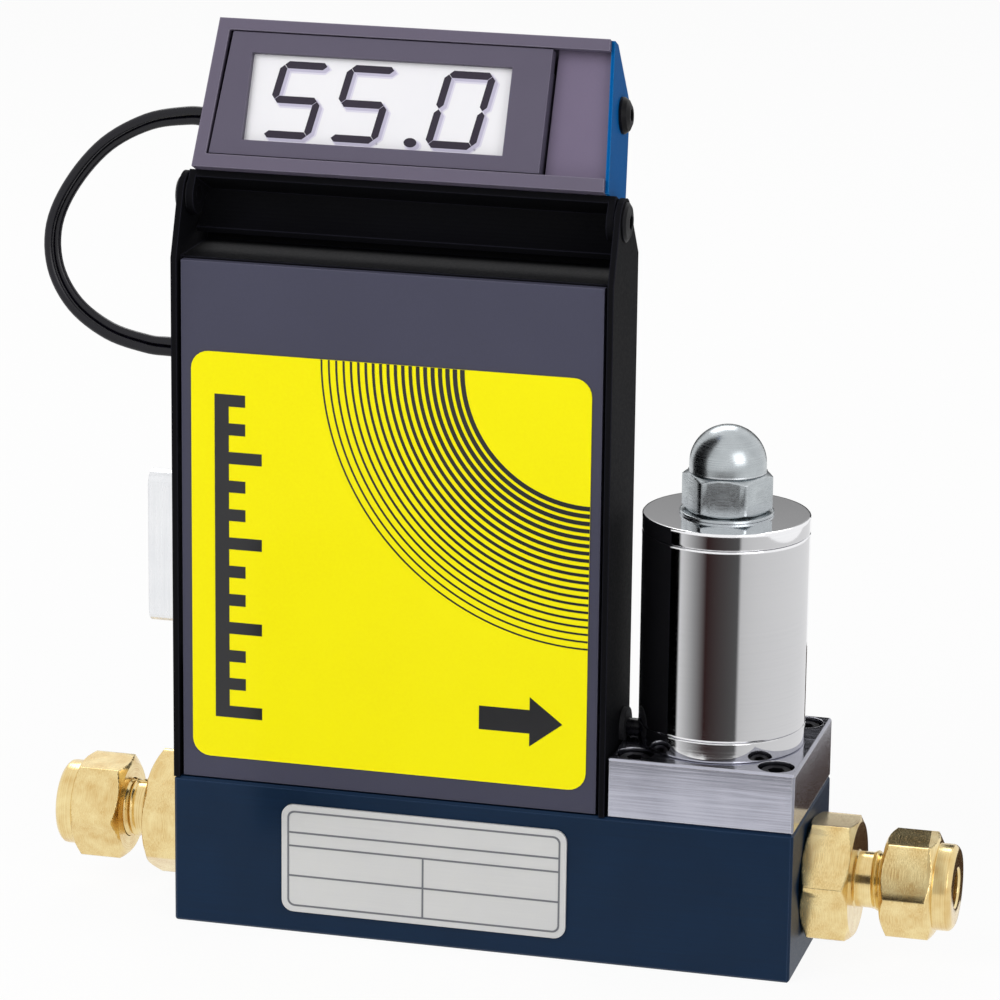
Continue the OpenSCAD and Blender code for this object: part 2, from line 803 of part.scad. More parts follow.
module sensor_screw_places() {
    for (side = [-1, 1]) translate([sensor_x + side * sensor_screw_x, sensor_y, 0]) children();
}

module sensor_block() {
    color("#B4B6BC") difference() {
        translate([sensor_x, sensor_y, block_h + sensor_h / 2])
            chamfer_box([sensor_w, sensor_d, sensor_h], block_chamfer);
        for (side = [-1, 1]) translate([sensor_x + side * sensor_leg, passage_y, block_h - eps]) {
            cylinder(h = sensor_h + 1, d = sensor_tube_d);
            cylinder(h = seal_groove, d = seal_d);
        }
        sensor_screw_places() translate([0, 0, block_h - 1]) cylinder(h = deep, d = house_screw_d);
    }
}

module sensor_screws() {
    color("#4A4A4A") sensor_screw_places() translate([0, 0, block_h + sensor_h])
        cap_screw(house_screw_d, sensor_h + 6, sensor_head_d, 2.2, 1.5);
}

// Seals round the passages where two blocks meet
module passage_o_rings() {
    color("#202020") {
        for (side = [-1, 1]) translate([sensor_x + side * sensor_leg, passage_y, block_h])
            ring(seal_d, passage_d, seal_groove - eps);
        translate([valve_x - passage_offset, 0, block_h]) ring(seal_d, passage_d, seal_groove);
        translate([valve_x, 0, block_h]) ring(seal_d + seat_d, seat_d, seal_groove);
    }
}

// Bent capillary: up from the block, across and down again
module sensor_tube() {
    top = block_h + sensor_h + sensor_top;
    color("#D6D8DC") translate([sensor_x, passage_y, 0]) for (side = [-1, 1]) {
        translate([side * sensor_leg, 0, block_h + 1])
            cylinder(h = top - sensor_bend - block_h - 1, d = sensor_tube_d);
        translate([side * (sensor_leg - sensor_bend), 0, top - sensor_bend])
            rotate([90, 0, side > 0 ? 0 : 180]) rotate_extrude(angle = 90)
                translate([sensor_bend, 0]) circle(d = sensor_tube_d, $fn = 24);
        translate([0, 0, top]) rotate([0, 90, 0])
            cylinder(h = sensor_leg - sensor_bend, d = sensor_tube_d);
        translate([-(sensor_leg - sensor_bend), 0, top]) rotate([0, 90, 0])
            cylinder(h = sensor_leg - sensor_bend, d = sensor_tube_d);
    }
}

module sensor_windings() {
    top = block_h + sensor_h + sensor_top;
    color("#A8703C") for (side = [-1, 1])
        translate([sensor_x + side * 3 - 2.4, passage_y, top]) rotate([0, 90, 0])
            ring(sensor_tube_d + 1, sensor_tube_d, 4.8);
}

// Insulated can over the capillary, open below
module sensor_cover() {
    z0 = block_h + sensor_h;
    h = sensor_top + 4;
    w = sensor_cover_w;
    back = house_y1 - sheet_t - passage_y - sensor_back_gap;
    color("#D8D4C8") difference() {
        span([sensor_x - w / 2, passage_y - back, z0], [sensor_x + w / 2, passage_y + back, z0 + h]);
        span([sensor_x - w / 2 + sensor_cover_t, passage_y - back + sensor_cover_t, z0 - 1],
             [sensor_x + w / 2 - sensor_cover_t, passage_y + back - sensor_cover_t,
              z0 + h - sensor_cover_t]);
    }
}

// ------------------------------------------------------------- connector

// Frame on the left cheek: x down, y to the back, z outward from the sheet's inside
module at_d_sub(x) {
    translate([x, house_mid_y, d_sub_z]) rotate([0, -90, 0]) children();
}

module d_sub_screw_places() {
    for (side = [-1, 1]) at_d_sub(house_x0) translate([side * d_sub_screw_pitch / 2, 0, 0]) children();
}

module d_sub_shell() {
    inside = house_x0 + sheet_t;
    color("#D0D2D6") at_d_sub(inside) difference() {
        union() {
            translate([0, 0, -d_sub_t * 2])
                linear_extrude(d_sub_t * 2) polygon(round_rect(d_sub_flange_l, d_sub_flange_w, 1.5));
            linear_extrude(sheet_t + d_sub_reach) polygon(d_outline(d_sub_l, d_sub_w, d_sub_r));
        }
        translate([0, 0, -d_sub_t * 2 - eps]) linear_extrude(deep)
            polygon(d_outline(d_sub_l - 2 * d_sub_t, d_sub_w - 2 * d_sub_t, d_sub_r - d_sub_t));
        for (side = [-1, 1]) translate([side * d_sub_screw_pitch / 2, 0, -2])
            cylinder(h = 4, d = d_sub_screw_d);
    }
}

module d_sub_pin_places() {
    for (i = [0 : 7]) translate([(i - 3.5) * pin_pitch, -pin_rows / 2, 0]) children();
    for (i = [0 : 6]) translate([(i - 3) * pin_pitch, pin_rows / 2, 0]) children();
}

module d_sub_insulator() {
    color("#1C1C1E") at_d_sub(house_x0 + sheet_t) difference() {
        translate([0, 0, -6]) linear_extrude(6.8)
            polygon(d_outline(d_sub_l - 2 * d_sub_t, d_sub_w - 2 * d_sub_t, d_sub_r - d_sub_t));
        d_sub_pin_places() translate([0, 0, -7]) cylinder(h = 9, d = pin_d);
    }
}

module d_sub_pins() {
    color("#D8B860") at_d_sub(house_x0 + sheet_t) d_sub_pin_places() {
        translate([0, 0, -8]) cylinder(h = 13, d = pin_d);
        translate([0, 0, 5]) sphere(d = pin_d, $fn = 16);
    }
}

module d_sub_screws() {
    color("#B4B6BC") d_sub_screw_places() button_screw(d_sub_screw_d, 3, 4.6, 1.4, 2);
}

// Bush with a lip each side of a sheet, on z, with the sheet from z = 0 to t
module grommet(bore, t, inner_lip) {
    waist = bore + 2 * grommet_wall;
    difference() {
        union() {
            translate([0, 0, -inner_lip]) cylinder(h = t + inner_lip, d = waist);
            translate([0, 0, t]) cylinder(h = grommet_lip, d = waist + 1.6);
            translate([0, 0, -inner_lip]) cylinder(h = inner_lip, d = waist + 1.6);
        }
        translate([0, 0, -5]) cylinder(h = 20, d = bore);
    }
}

module housing_grommet() {
    color("#1A1A1E") translate([house_x0 + sheet_t, house_mid_y, housing_grommet_z])
        rotate([0, -90, 0]) grommet(cable_d, sheet_t, grommet_lip);
}

// The outer lip has a flat, where it stands on the valve base
module coil_lead_grommet() {
    color("#1A1A1E") difference() {
        translate([house_x1 - sheet_t, lead_y, lead_z])
            rotate([0, 90, 0]) grommet(lead_d, sheet_t, grommet_lip);
        translate([house_x1, lead_y - lead_d * 2, valve_z1 + lip_flat_gap - lead_d * 2])
            cube([grommet_lip + 1, lead_d * 4, lead_d * 2]);
    }
}

module coil_lead() {
    color("#1A1A1E") translate([lead_inner_x, lead_y, lead_z])
        rotate([0, 90, 0]) cylinder(h = valve_x - 9 - lead_inner_x, d = lead_d);
}

// ---------------------------------------------------------------- valve

module valve_screw_places() {
    for (x = [-1, 1], y = [-1, 1])
        translate([valve_x + x * (valve_w / 2 - valve_screw_edge),
                   y * (block_d / 2 - valve_screw_edge), 0]) children();
}

// Gas way from the riser into the chamber round the plunger
module cross_drilling() {
    translate([valve_x - passage_offset, 0, cross_z]) rotate([0, 90, 0])
        cylinder(h = passage_offset, d = cross_d);
}

module valve_base() {
    color("#B5B6C2") difference() {
        translate([valve_x, 0, valve_z0 + valve_h / 2])
            chamfer_box([valve_w, block_d, valve_h], block_chamfer);
        translate([valve_x, 0, core_z0]) cylinder(h = deep, d = core_d);
        translate([valve_x, 0, valve_z0 - 1]) cylinder(h = deep, d = seat_d);
        translate([valve_x, 0, valve_z0 - eps]) cylinder(h = seal_groove + eps, d = seal_d + seat_d);
        translate([valve_x - passage_offset, 0, valve_z0 - eps]) {
            cylinder(h = seal_groove + eps, d = seal_d);
            cylinder(h = cross_z - valve_z0 + cross_d / 2, d = passage_d);
        }
        cross_drilling();
        valve_screw_places() {
            translate([0, 0, valve_z0 - 1]) cylinder(h = deep, d = screw_d);
            translate([0, 0, valve_z1 - counterbore_h]) cylinder(h = deep, d = counterbore_d);
        }
    }
}

module valve_base_screws() {
    color("#1C1C20") valve_screw_places() translate([0, 0, valve_z1 - counterbore_h])
        cap_screw(screw_d, screw_l - 0.5, screw_head_d, screw_head_h, 2.5);
}

// Orifice insert with a raised lip that the plunger closes on
module valve_seat() {
    color("#C9CBD0") translate([valve_x, 0, valve_z0]) difference() {
        union() {
            cylinder(h = seat_h - 0.6, d = seat_d);
            cylinder(h = seat_h, d = orifice_d + 1.2);
        }
        translate([0, 0, -1]) cylinder(h = seat_h + 2, d = orifice_d);
    }
}

// Closed tube that guides the plunger and ends in the acorn nut's thread
module core_tube() {
    pole_z = seat_top + plunger_h + plunger_play;
    color("#C9CBD0") difference() {
        translate([valve_x, 0, core_z0]) cylinder(h = acorn_z + acorn_hex_h + 2 - core_z0, d = core_d);
        translate([valve_x, 0, core_z0 - 1])
            cylinder(h = pole_z - core_z0 + 1, d = plunger_d + plunger_clearance);
        translate([valve_x, 0, pole_z - eps]) cylinder(h = pole_pocket_h + eps, d = spring_pocket_d);
        cross_drilling();
    }
}

module valve_plunger() {
    color("#B0B2B8") translate([valve_x, 0, seat_top]) difference() {
        rotate_extrude() polygon([
            [0, 0], [plunger_d / 2 - 0.8, 0], [plunger_d / 2, 0.8], [plunger_d / 2, plunger_h],
            [0, plunger_h]
        ]);
        translate([0, 0, plunger_h - spring_pocket_h]) cylinder(h = deep, d = spring_pocket_d);
    }
}

module plunger_spring() {
    steps = 12;
    n = spring_turns * steps;
    z0 = seat_top + plunger_h - spring_pocket_h + spring_wire / 2;
    rise = spring_pocket_h + plunger_play + pole_pocket_h - spring_wire;
    r = spring_pocket_d / 2 - spring_wire;
    path = [for (i = [0 : n])
        [valve_x + r * cos(360 * i / steps), r * sin(360 * i / steps), z0 + rise * i / n]];
    color("#D6D8DC") swept_tube(path, spring_wire / 2, 6, [0, 0, 1]);
}

module solenoid_disc(h, bore) {
    difference() {
        rotate_extrude() polygon([
            [0, 0], [coil_d / 2 - seam, 0], [coil_d / 2, seam], [coil_d / 2, h - seam],
            [coil_d / 2 - seam, h], [0, h]
        ]);
        translate([0, 0, -1]) cylinder(h = h + 2, d = bore);
    }
}

module solenoid_lower_disc() {
    color("#E8E8EA") difference() {
        translate([valve_x, 0, valve_z1]) solenoid_disc(lower_disc_t, core_d);
        translate([valve_x - coil_d, lead_y, lead_z]) rotate([0, 90, 0])
            cylinder(h = coil_d - 9, d = lead_d);
    }
}

module solenoid_shell() {
    color("#E8E8EA") translate([valve_x, 0, shell_z0]) difference() {
        rotate_extrude() polygon([
            [0, 0], [coil_d / 2 - seam, 0], [coil_d / 2, seam],
            [coil_d / 2, shell_z1 - shell_z0 - seam], [coil_d / 2 - seam, shell_z1 - shell_z0],
            [0, shell_z1 - shell_z0]
        ]);
        translate([0, 0, -1]) cylinder(h = deep, d = coil_d - 2 * shell_t);
    }
}

module solenoid_upper_disc() {
    color("#E8E8EA") translate([valve_x, 0, shell_z1]) solenoid_disc(upper_disc_t, core_d);
}

module coil_bobbin() {
    h = shell_z1 - shell_z0;
    color("#3A3A40") translate([valve_x, 0, shell_z0]) difference() {
        union() {
            cylinder(h = h, d = core_d + 2 * bobbin_t);
            cylinder(h = bobbin_flange_t, r = bobbin_r);
            translate([0, 0, h - bobbin_flange_t]) cylinder(h = bobbin_flange_t, r = bobbin_r);
        }
        translate([0, 0, -1]) cylinder(h = h + 2, d = core_d);
    }
}

module coil_winding() {
    color("#A8602C") translate([valve_x, 0, shell_z0 + bobbin_flange_t])
        ring(2 * (bobbin_r - winding_margin), core_d + 2 * bobbin_t,
             shell_z1 - shell_z0 - 2 * bobbin_flange_t);
}

module nut_washer() {
    color("#C4C6CA") translate([valve_x, 0, coil_z1]) ring(washer_d, core_d, washer_t);
}

// Domed cap nut: a turned hexagon under a hollow dome
module acorn_nut() {
    r = acorn_dome_d / 2;
    color("#B0B4B8") translate([valve_x, 0, acorn_z]) difference() {
        union() {
            rotate(acorn_turn) turned_hex(acorn_flats, acorn_hex_h, acorn_flats - 0.4, acorn_flats - 1.2);
            rotate_extrude() polygon(concat(
                [[0, 1], [r, 1], [r, acorn_hex_h + acorn_neck_h]],
                arc([0, acorn_hex_h + acorn_neck_h], r, 0, 90, 16)));
        }
        translate([0, 0, -1]) cylinder(h = acorn_hex_h + 3, d = core_d);
    }
}

// --------------------------------------------------------------- readout

// Frame of the readout's face: x across, y back from the face, z up the face
module at_readout() {
    translate([house_x, case_y, case_z]) rotate([-case_lean, 0, 0]) children();
}

// Half width of the case at height u up the face
function half_w(u) = (case_w + (case_top_w - case_w) * u / case_h) / 2;

// Side outline of the case, back from the face and up it, drawn in by inset
module case_side(inset) {
    d = case_d - inset;
    h = case_h - inset;
    f = case_fold;
    polygon(concat(
        [[0, inset]],
        arc([case_d - f, f], f - inset, 270, 360, 5),
        [[d, case_h - case_roof_drop - f / 2 - inset * 0.3],
         [d - f / 2, case_h - case_roof_drop - inset * 0.6],
         [case_roof_l - inset * 0.4, h], [0, h]]));
}

// Solid of the case's outline, narrowed by side on the left and right
module case_solid(inset, left, right) {
    intersection() {
        translate([-case_w, 0, 0]) rotate([90, 0, 90]) linear_extrude(2 * case_w) case_side(inset);
        translate([0, deep, 0]) rotate([90, 0, 0]) linear_extrude(2 * deep) polygon([
            [-half_w(0) + left, 0], [half_w(0) - right, 0],
            [half_w(case_h) - right, case_h], [-half_w(case_h) + left, case_h]
        ]);
    }
}

// Folded case open at the front and the right, with lips above, below and left
module readout_case() {
    low = lip_bottom_h;
    high = case_h - lip_top_h;
    color("#4C4658") at_readout() difference() {
        case_solid(0, 0, end_plate_t);
        difference() {
            intersection() {
                case_solid(case_t, case_t, -1);
                span([-case_w, case_t, -1], [case_w, 2 * case_d, case_h]);
            }
            span([half_w(case_screw_up) - case_tab_t, case_screw_back - case_tab_r,
                  case_screw_up - case_tab_r],
                 [case_w, case_d, case_screw_up + case_tab_r]);
        }
        case_screw_axis() cylinder(h = 10, d = case_screw_d, center = true);
        translate([0, 2 * case_t, 0]) rotate([90, 0, 0]) linear_extrude(4 * case_t) polygon([
            [-half_w(low) + lip_left_w, low], [case_w, low],
            [case_w, high], [-half_w(high) + lip_left_w, high]
        ]);
        translate([-half_w(0) - 2, cable_back, cable_up]) rotate([0, 90, 0])
            cylinder(h = 6, d = cable_d + 2 * grommet_wall);
    }
}

module case_screw_axis() {
    translate([half_w(case_screw_up), case_screw_back, case_screw_up])
        rotate([0, 90 - atan((case_w - case_top_w) / 2 / case_h), 0]) children();
}

// Coloured plate that closes the right-hand end
module readout_end_plate() {
    color("#0066B8") at_readout() difference() {
        intersection() {
            difference() {
                case_solid(0, 0, 0);
                case_solid(-1, -1, end_plate_t);
            }
            span([0, 1, -1], [case_w, case_d, case_h]);
        }
        case_screw_axis() cylinder(h = 10, d = case_screw_d, center = true);
    }
}

module case_screw() {
    color("#1C1C20") at_readout() case_screw_axis()
        button_screw(case_screw_d, 6, case_screw_head_d, case_screw_head_h, 2);
}

// Moulded meter front: a frame with the window in it and a body behind
module meter_bezel() {
    color("#4A4556") at_readout() difference() {
        union() {
            rotate([90, 0, 0]) translate([0, 0, -bezel_recess - bezel_frame_d])
                linear_extrude(bezel_frame_d) polygon([
                    [bezel_x0, bezel_z0], [bezel_x1, bezel_z0], [bezel_x1, bezel_z1],
                    [bezel_x0 + (case_w - case_top_w) / 2, bezel_z1]
                ]);
            span([bezel_x0 + bezel_shoulder, bezel_recess + 1, bezel_z0],
                 [bezel_x1, bezel_recess + bezel_d, bezel_z1 - bezel_shoulder]);
        }
        translate([window_x, 0, window_z])
            cube([window_w, 2 * (bezel_recess + glass_recess), window_h], center = true);
        translate([window_x, bezel_recess + glass_recess + glass_t / 2, window_z])
            cube([window_w + 2, glass_t, window_h + 2], center = true);
        span([bezel_x0 + bezel_shoulder + 1, bezel_recess + glass_recess + glass_t - eps,
              bezel_z0 + 1.4],
             [bezel_x1 - 2, deep, bezel_z1 - bezel_shoulder - 1]);
    }
}

module lcd_glass() {
    color("#F4F2F4") at_readout()
        translate([window_x, bezel_recess + glass_recess + glass_t / 2, window_z])
            cube([window_w + 2, glass_t, window_h + 2], center = true);
}

// One stroke of a digit from a to b with pointed ends, leaning with the digit
function lean(p) = [p[0] + p[1] * tan(digit_slant), p[1]];

module stroke(a, b) {
    t = digit_stroke / 2;
    d = unit(b - a);
    n = [-d[1], d[0]];
    p = a + d * digit_gap;
    q = b - d * digit_gap;
    polygon([
        lean(p), lean(p + (d + n) * t), lean(q + (n - d) * t),
        lean(q), lean(q - (d + n) * t), lean(p + (d - n) * t)
    ]);
}

// Seven-stroke digit: strokes named by the usual letters a to g
module digit(strokes) {
    w = digit_w - digit_stroke;
    h = digit_h - digit_stroke;
    at = [
        ["a", [0, h], [w, h]], ["b", [w, h], [w, h / 2]], ["c", [w, h / 2], [w, 0]],
        ["d", [0, 0], [w, 0]], ["e", [0, h / 2], [0, 0]], ["f", [0, h], [0, h / 2]],
        ["g", [0, h / 2], [w, h / 2]]
    ];
    for (s = at) if (len(search(s[0], strokes)) > 0) stroke(s[1], s[2]);
}

// Reading of the display: two fives, a point and a nought
module lcd_digits() {
    shown = [["afgcd", 3.2], ["afgcd", 14.4], ["abcdef", 30.7]];
    base = window_z - window_h / 2 + (window_h - digit_h + digit_stroke) / 2;
    left = window_x - window_w / 2;
    color("#4A4550") at_readout() translate([0, bezel_recess + glass_recess, 0])
        rotate([90, 0, 0]) linear_extrude(digit_t) {
            for (s = shown) translate([left + s[1], base]) digit(s[0]);
            translate([left + 27.7, base]) scale([1.25, 0.9]) circle(d = 1.7, $fn = 24);
        }
}

// Plain panel beside the meter, set back behind the lips
module blank_panel() {
    x0 = bezel_x1 + bezel_side_gap;
    color("#7A6E88") at_readout() intersection() {
        case_solid(case_t, case_t, end_plate_t + bezel_side_gap / 2);
        span([x0, panel_recess, lip_bottom_h - 0.9], [case_w, panel_recess + panel_t, case_h]);
    }
}

module readout_board() {
    y0 = bezel_recess + bezel_d;
    color("#1E6B3C") at_readout()
        span([bezel_x0 + bezel_shoulder, y0, bezel_z0 + 0.6],
             [bezel_x1 - 1, y0 + board_t, bezel_z1 - bezel_shoulder - 0.6]);
}

// Strap under the case with an ear at each end for the pivot and a curved skirt
// behind that closes the gap to the housing's back
module tilt_bracket() {
    ear_x = house_w / 2 - sheet_t - bracket_play;
    front = 2.4;
    back = case_d - case_fold - 0.6;
    color("#15151C") at_readout() difference() {
        union() {
            span([-ear_x, front, -bracket_t], [ear_x, back, 0]);
            translate([-ear_x, pivot_back, pivot_up]) rotate([90, 0, 90]) linear_extrude(2 * ear_x)
                polygon(concat(arc([0, 0], skirt_r, 24, -46, 10),
                               arc([0, 0], skirt_r - skirt_t, -46, 24, 10)));
            for (side = [-1, 1]) translate([side * (ear_x - bracket_t / 2), 0, 0])
                rotate([90, 0, 90]) linear_extrude(bracket_t, center = true) {
                    polygon([
                        [front, -bracket_t / 2], [pivot_back - ear_turn_r, pivot_up],
                        [pivot_back + ear_turn_r, pivot_up], [back, -bracket_t / 2]
                    ]);
                    translate([pivot_back, pivot_up]) circle(r = ear_turn_r);
                }
        }
        translate([0, pivot_back, pivot_up]) rotate([0, 90, 0])
            cylinder(h = deep, d = pivot_d, center = true);
    }
}

// Thin washers that hold the readout where it is set
module friction_washers() {
    x = house_w / 2 - sheet_t - bracket_play;
    color("#E8E4D8") for (side = [-1, 1])
        translate([house_x + side * x, pivot_y, pivot_z]) rotate([0, side * 90, 0])
            ring(2 * ear_turn_r - 0.6, pivot_d, bracket_play - washer_play);
}

module pivot_screws() {
    l = sheet_t + bracket_play + bracket_t;
    color("#1C1C20") for (side = [-1, 1])
        translate([house_x + side * (house_w / 2 + washer_play), pivot_y, pivot_z])
            rotate([0, side * 90, 0])
                button_screw(pivot_d, l + washer_play, pivot_head_d, pivot_head_h, 2.2);
}

module readout_grommet() {
    c = at_case(cable_back, cable_up);
    outer_x = CABLE[0][0];
    inner_x = house_x - half_w(cable_up) + case_t + 1.2;
    color("#1A1A1E") difference() {
        union() {
            translate([outer_x, c[1], c[2]]) rotate([0, 90, 0])
                cylinder(h = inner_x - outer_x, d = cable_d + 2 * grommet_wall);
            translate([outer_x, c[1], c[2]]) rotate([0, 90, 0])
                cylinder(h = 0.7, d = cable_d + 2 * grommet_wall + 1.4);
        }
        translate([outer_x + 3, c[1], c[2]]) rotate([0, 90, 0]) cylinder(h = 20, d = cable_d);
    }
}

// A point of the case's left side in the part's own frame
function at_case(back, up) = [
    house_x - half_w(up),
    case_y + back * cos(case_lean) + up * sin(case_lean),
    case_z - back * sin(case_lean) + up * cos(case_lean)
];

module readout_cable() {
    color("#20222C") swept_tube(CABLE, cable_d / 2, cable_sides, [0, 1, 0]);
}

flow_block();
inlet_screen();
flow_restrictor();
inlet_fitting_body();
outlet_fitting_body();
fitting_o_rings();
inlet_nut();
outlet_nut();
front_ferrules();
back_ferrules();
nameplate();
nameplate_print();
housing_wrap();
housing_screws();
front_cover();
cover_screws();
front_label();
label_print();
main_board();
board_components();
board_spacers();
sensor_block();
sensor_tube();
sensor_windings();
sensor_cover();
sensor_screws();
passage_o_rings();
d_sub_shell();
d_sub_insulator();
d_sub_pins();
d_sub_screws();
housing_grommet();
coil_lead();
coil_lead_grommet();
valve_base();
valve_base_screws();
valve_seat();
valve_plunger();
plunger_spring();
core_tube();
solenoid_lower_disc();
solenoid_shell();
solenoid_upper_disc();
coil_bobbin();
coil_winding();
nut_washer();
acorn_nut();
tilt_bracket();
friction_washers();
pivot_screws();
readout_case();
readout_end_plate();
case_screw();
blank_panel();
meter_bezel();
lcd_glass();
lcd_digits();
readout_board();
readout_grommet();
readout_cable();
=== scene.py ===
"""Dressed model of a thermal mass flow controller.

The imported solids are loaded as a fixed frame. Most of them keep their shape
and get a finish here. The parts that catch the eye with a turned or polished
surface are built anew: the tube fittings, the solenoid with its cap nut, the
twin lead of the readout, and the soft shadows under the display's strokes.
"""

import logging
import math
from dataclasses import dataclass, field
from enum import Enum
from typing import Optional, Sequence

import bmesh
import bpy
import numpy as np
from mathutils import Matrix, Vector


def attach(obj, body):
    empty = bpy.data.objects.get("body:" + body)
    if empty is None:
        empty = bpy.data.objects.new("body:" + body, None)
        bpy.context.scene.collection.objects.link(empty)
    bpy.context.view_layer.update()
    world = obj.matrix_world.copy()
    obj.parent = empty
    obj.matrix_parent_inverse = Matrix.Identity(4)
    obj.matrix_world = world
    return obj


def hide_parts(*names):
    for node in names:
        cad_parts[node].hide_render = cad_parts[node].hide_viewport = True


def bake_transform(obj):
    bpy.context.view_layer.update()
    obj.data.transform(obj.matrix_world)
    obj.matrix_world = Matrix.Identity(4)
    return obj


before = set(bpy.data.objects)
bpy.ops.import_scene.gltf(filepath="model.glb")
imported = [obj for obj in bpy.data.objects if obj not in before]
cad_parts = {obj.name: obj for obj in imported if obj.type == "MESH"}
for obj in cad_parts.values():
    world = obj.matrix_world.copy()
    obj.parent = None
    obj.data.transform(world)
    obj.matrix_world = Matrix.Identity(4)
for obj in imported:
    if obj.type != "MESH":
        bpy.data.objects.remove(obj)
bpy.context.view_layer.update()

LOG = logging.getLogger("flow_controller")
MM = 0.001

# Places that several pieces share, in millimetres: an end face of the block,
# the height of the fittings' axis, and the valve's upright axis.
BLOCK_END_X = 52.45
AXIS_Z = 13.5
VALVE_X = 36.95

# Meshes: an edge that turns further is sharp, and nearer points are merged.
SHARP_DEG = 28
MERGE_M = 1e-7

Node = bpy.types.Node
Socket = bpy.types.NodeSocket
Tree = bpy.types.NodeTree
Material = bpy.types.Material
Object = bpy.types.Object


# ------------------------------------------------------------------ helpers


def linear(hex_colour: str) -> tuple[float, float, float, float]:
    """Turn an sRGB hex colour into linear light.

    Args:
        hex_colour: six hex digits after a hash sign.

    Returns:
        Red, green, blue and alpha, each from 0 to 1.
    """
    parts = [int(hex_colour[i : i + 2], 16) / 255 for i in (1, 3, 5)]
    channels = [c / 12.92 if c <= 0.04045 else ((c + 0.055) / 1.055) ** 2.4 for c in parts]
    return (channels[0], channels[1], channels[2], 1.0)


def add(
    tree: Tree,
    kind: str,
    settings: Optional[dict] = None,
    inputs: Optional[dict] = None,
) -> Node:
    """Add one node, with its settings, its input values and its links.

    Args:
        tree: node tree that takes the node.
        kind: Blender's name of the node type.
        settings: attribute names and their values.
        inputs: socket names or numbers; a socket as the value is linked, and
            anything else is set as the input's own value.

    Returns:
        The new node.
    """
    made = tree.nodes.new(kind)
    for key, value in (settings or {}).items():
        setattr(made, key, value)
    for key, value in (inputs or {}).items():
        if isinstance(value, Socket):
            tree.links.new(value, made.inputs[key])
        else:
            made.inputs[key].default_value = value
    return made


def surface(
    name: str, points: np.ndarray, close_rows: bool = False, close_columns: bool = False
) -> Object:
    """Make a mesh object from a grid of points, in millimetres.

    Each cell of the grid becomes a quad. A closed direction joins its last
    row or column back to its first.

    Args:
        name: name of the piece.
        points: array of rows x columns x 3.
        close_rows: join the last row to the first.
        close_columns: join the last column to the first.

    Returns:
        The linked object, at the origin.
    """
    rows, columns = points.shape[:2]
    i = np.arange(rows if close_rows else rows - 1)[:, None]
    j = np.arange(columns if close_columns else columns - 1)[None, :]
    i2, j2 = (i + 1) % rows, (j + 1) % columns
    quads = np.stack(
        [i * columns + j, i * columns + j2, i2 * columns + j2, i2 * columns + j], axis=-1
    ).reshape(-1, 4)
    mesh = bpy.data.meshes.new(name)
    mesh.from_pydata((points.reshape(-1, 3) * MM).tolist(), [], quads.tolist())
    mesh.validate()
    mesh.polygons.foreach_set("use_smooth", np.ones(len(mesh.polygons), dtype=bool))
    mesh.set_sharp_from_angle(angle=math.radians(SHARP_DEG))
    made = bpy.data.objects.new(name, mesh)
    bpy.context.scene.collection.objects.link(made)
    return made


def outward(piece: Object) -> Object:
    """Point every face of a closed mesh outwards and merge its like points.

    Args:
        piece: an object with a closed mesh.

    Returns:
        The same object.
    """
    work = bmesh.new()
    work.from_mesh(piece.data)
    bmesh.ops.remove_doubles(work, verts=work.verts, dist=MERGE_M)
    bmesh.ops.recalc_face_normals(work, faces=work.faces)
    work.to_mesh(piece.data)
    work.free()
    return piece


def dress(piece: Object, material: Material) -> Object:
    """Give every material slot of a piece the same material.

    Args:
        piece: the piece; one without a slot gets its first.
        material: what it is made of.

    Returns:
        The same piece.
    """
    if not piece.material_slots:
        piece.data.materials.append(material)
    for slot in piece.material_slots:
        slot.material = material
    return piece


def fitted(piece: Object, material: Material, slot: str, body: str, *solids: str) -> Object:
    """Dress a piece, put it in place of its solids and let it ride.

    Args:
        piece: the piece, in its place at rest.
        material: what it is made of.
        slot: not used.
        body: the body that it moves with.
        solids: the solids that it stands for, if any.

    Returns:
        The same piece.
    """
    dress(piece, material)
    if solids:
        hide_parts(*solids)
    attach(piece, body)
    return piece


def looked_at(tree: Tree) -> Socket:
    """Tell the rays that look at a thing from the rays that light others.

    Args:
        tree: node tree that takes the nodes.

    Returns:
        A socket that is 1 for camera, mirrored and transmitted rays, else 0.
    """
    rays = add(tree, "ShaderNodeLightPath").outputs
    seen = rays["Is Camera Ray"]
    for kind in ("Is Glossy Ray", "Is Transmission Ray"):
        larger = add(tree, "ShaderNodeMath", {"operation": "MAXIMUM"}, {0: seen, 1: rays[kind]})
        seen = larger.outputs[0]
    return seen


# ----------------------------------------------------------------- finishes


# A brush mark is this many times as long as it is wide.
BRUSH_LENGTH = 60
# Detail of the marks' noise and of the patches' noise.
MARK_DETAIL, MARK_FINENESS, PATCH_DETAIL = 3.0, 0.6, 2.0
# Noise at which the second colour starts and is at its full share.
COLOUR_FROM, COLOUR_TO = 0.12, 0.42
# Noise at which a surface is at its smoothest and at its roughest.
ROUGH_FROM, ROUGH_TO, SMOOTHEST = 0.3, 0.7, 0.02
# Cosine of the turn at an edge where the lighter edge colour starts and is full, and its share. That
# colour is partly wear and partly a painted highlight on lit edges.
EDGE_WEAR_AND_HIGHLIGHT_FROM, EDGE_WEAR_AND_HIGHLIGHT_TO, EDGE_WEAR_AND_HIGHLIGHT_SHARE = 0.985, 0.86, 0.8
EDGE_SAMPLES = 4
COAT_ROUGHNESS = 0.12


class Pattern(Enum):
    """How a surface was made, which sets the run of its marks."""

    GRAIN = "grain"
    BRUSHED_X = "brushed along the flow"
    BRUSHED_Z = "brushed upright"
    TURNED_X = "turned about the flow axis"
    TURNED_Z = "turned about the valve axis"
    MOTTLED = "soft blotches"


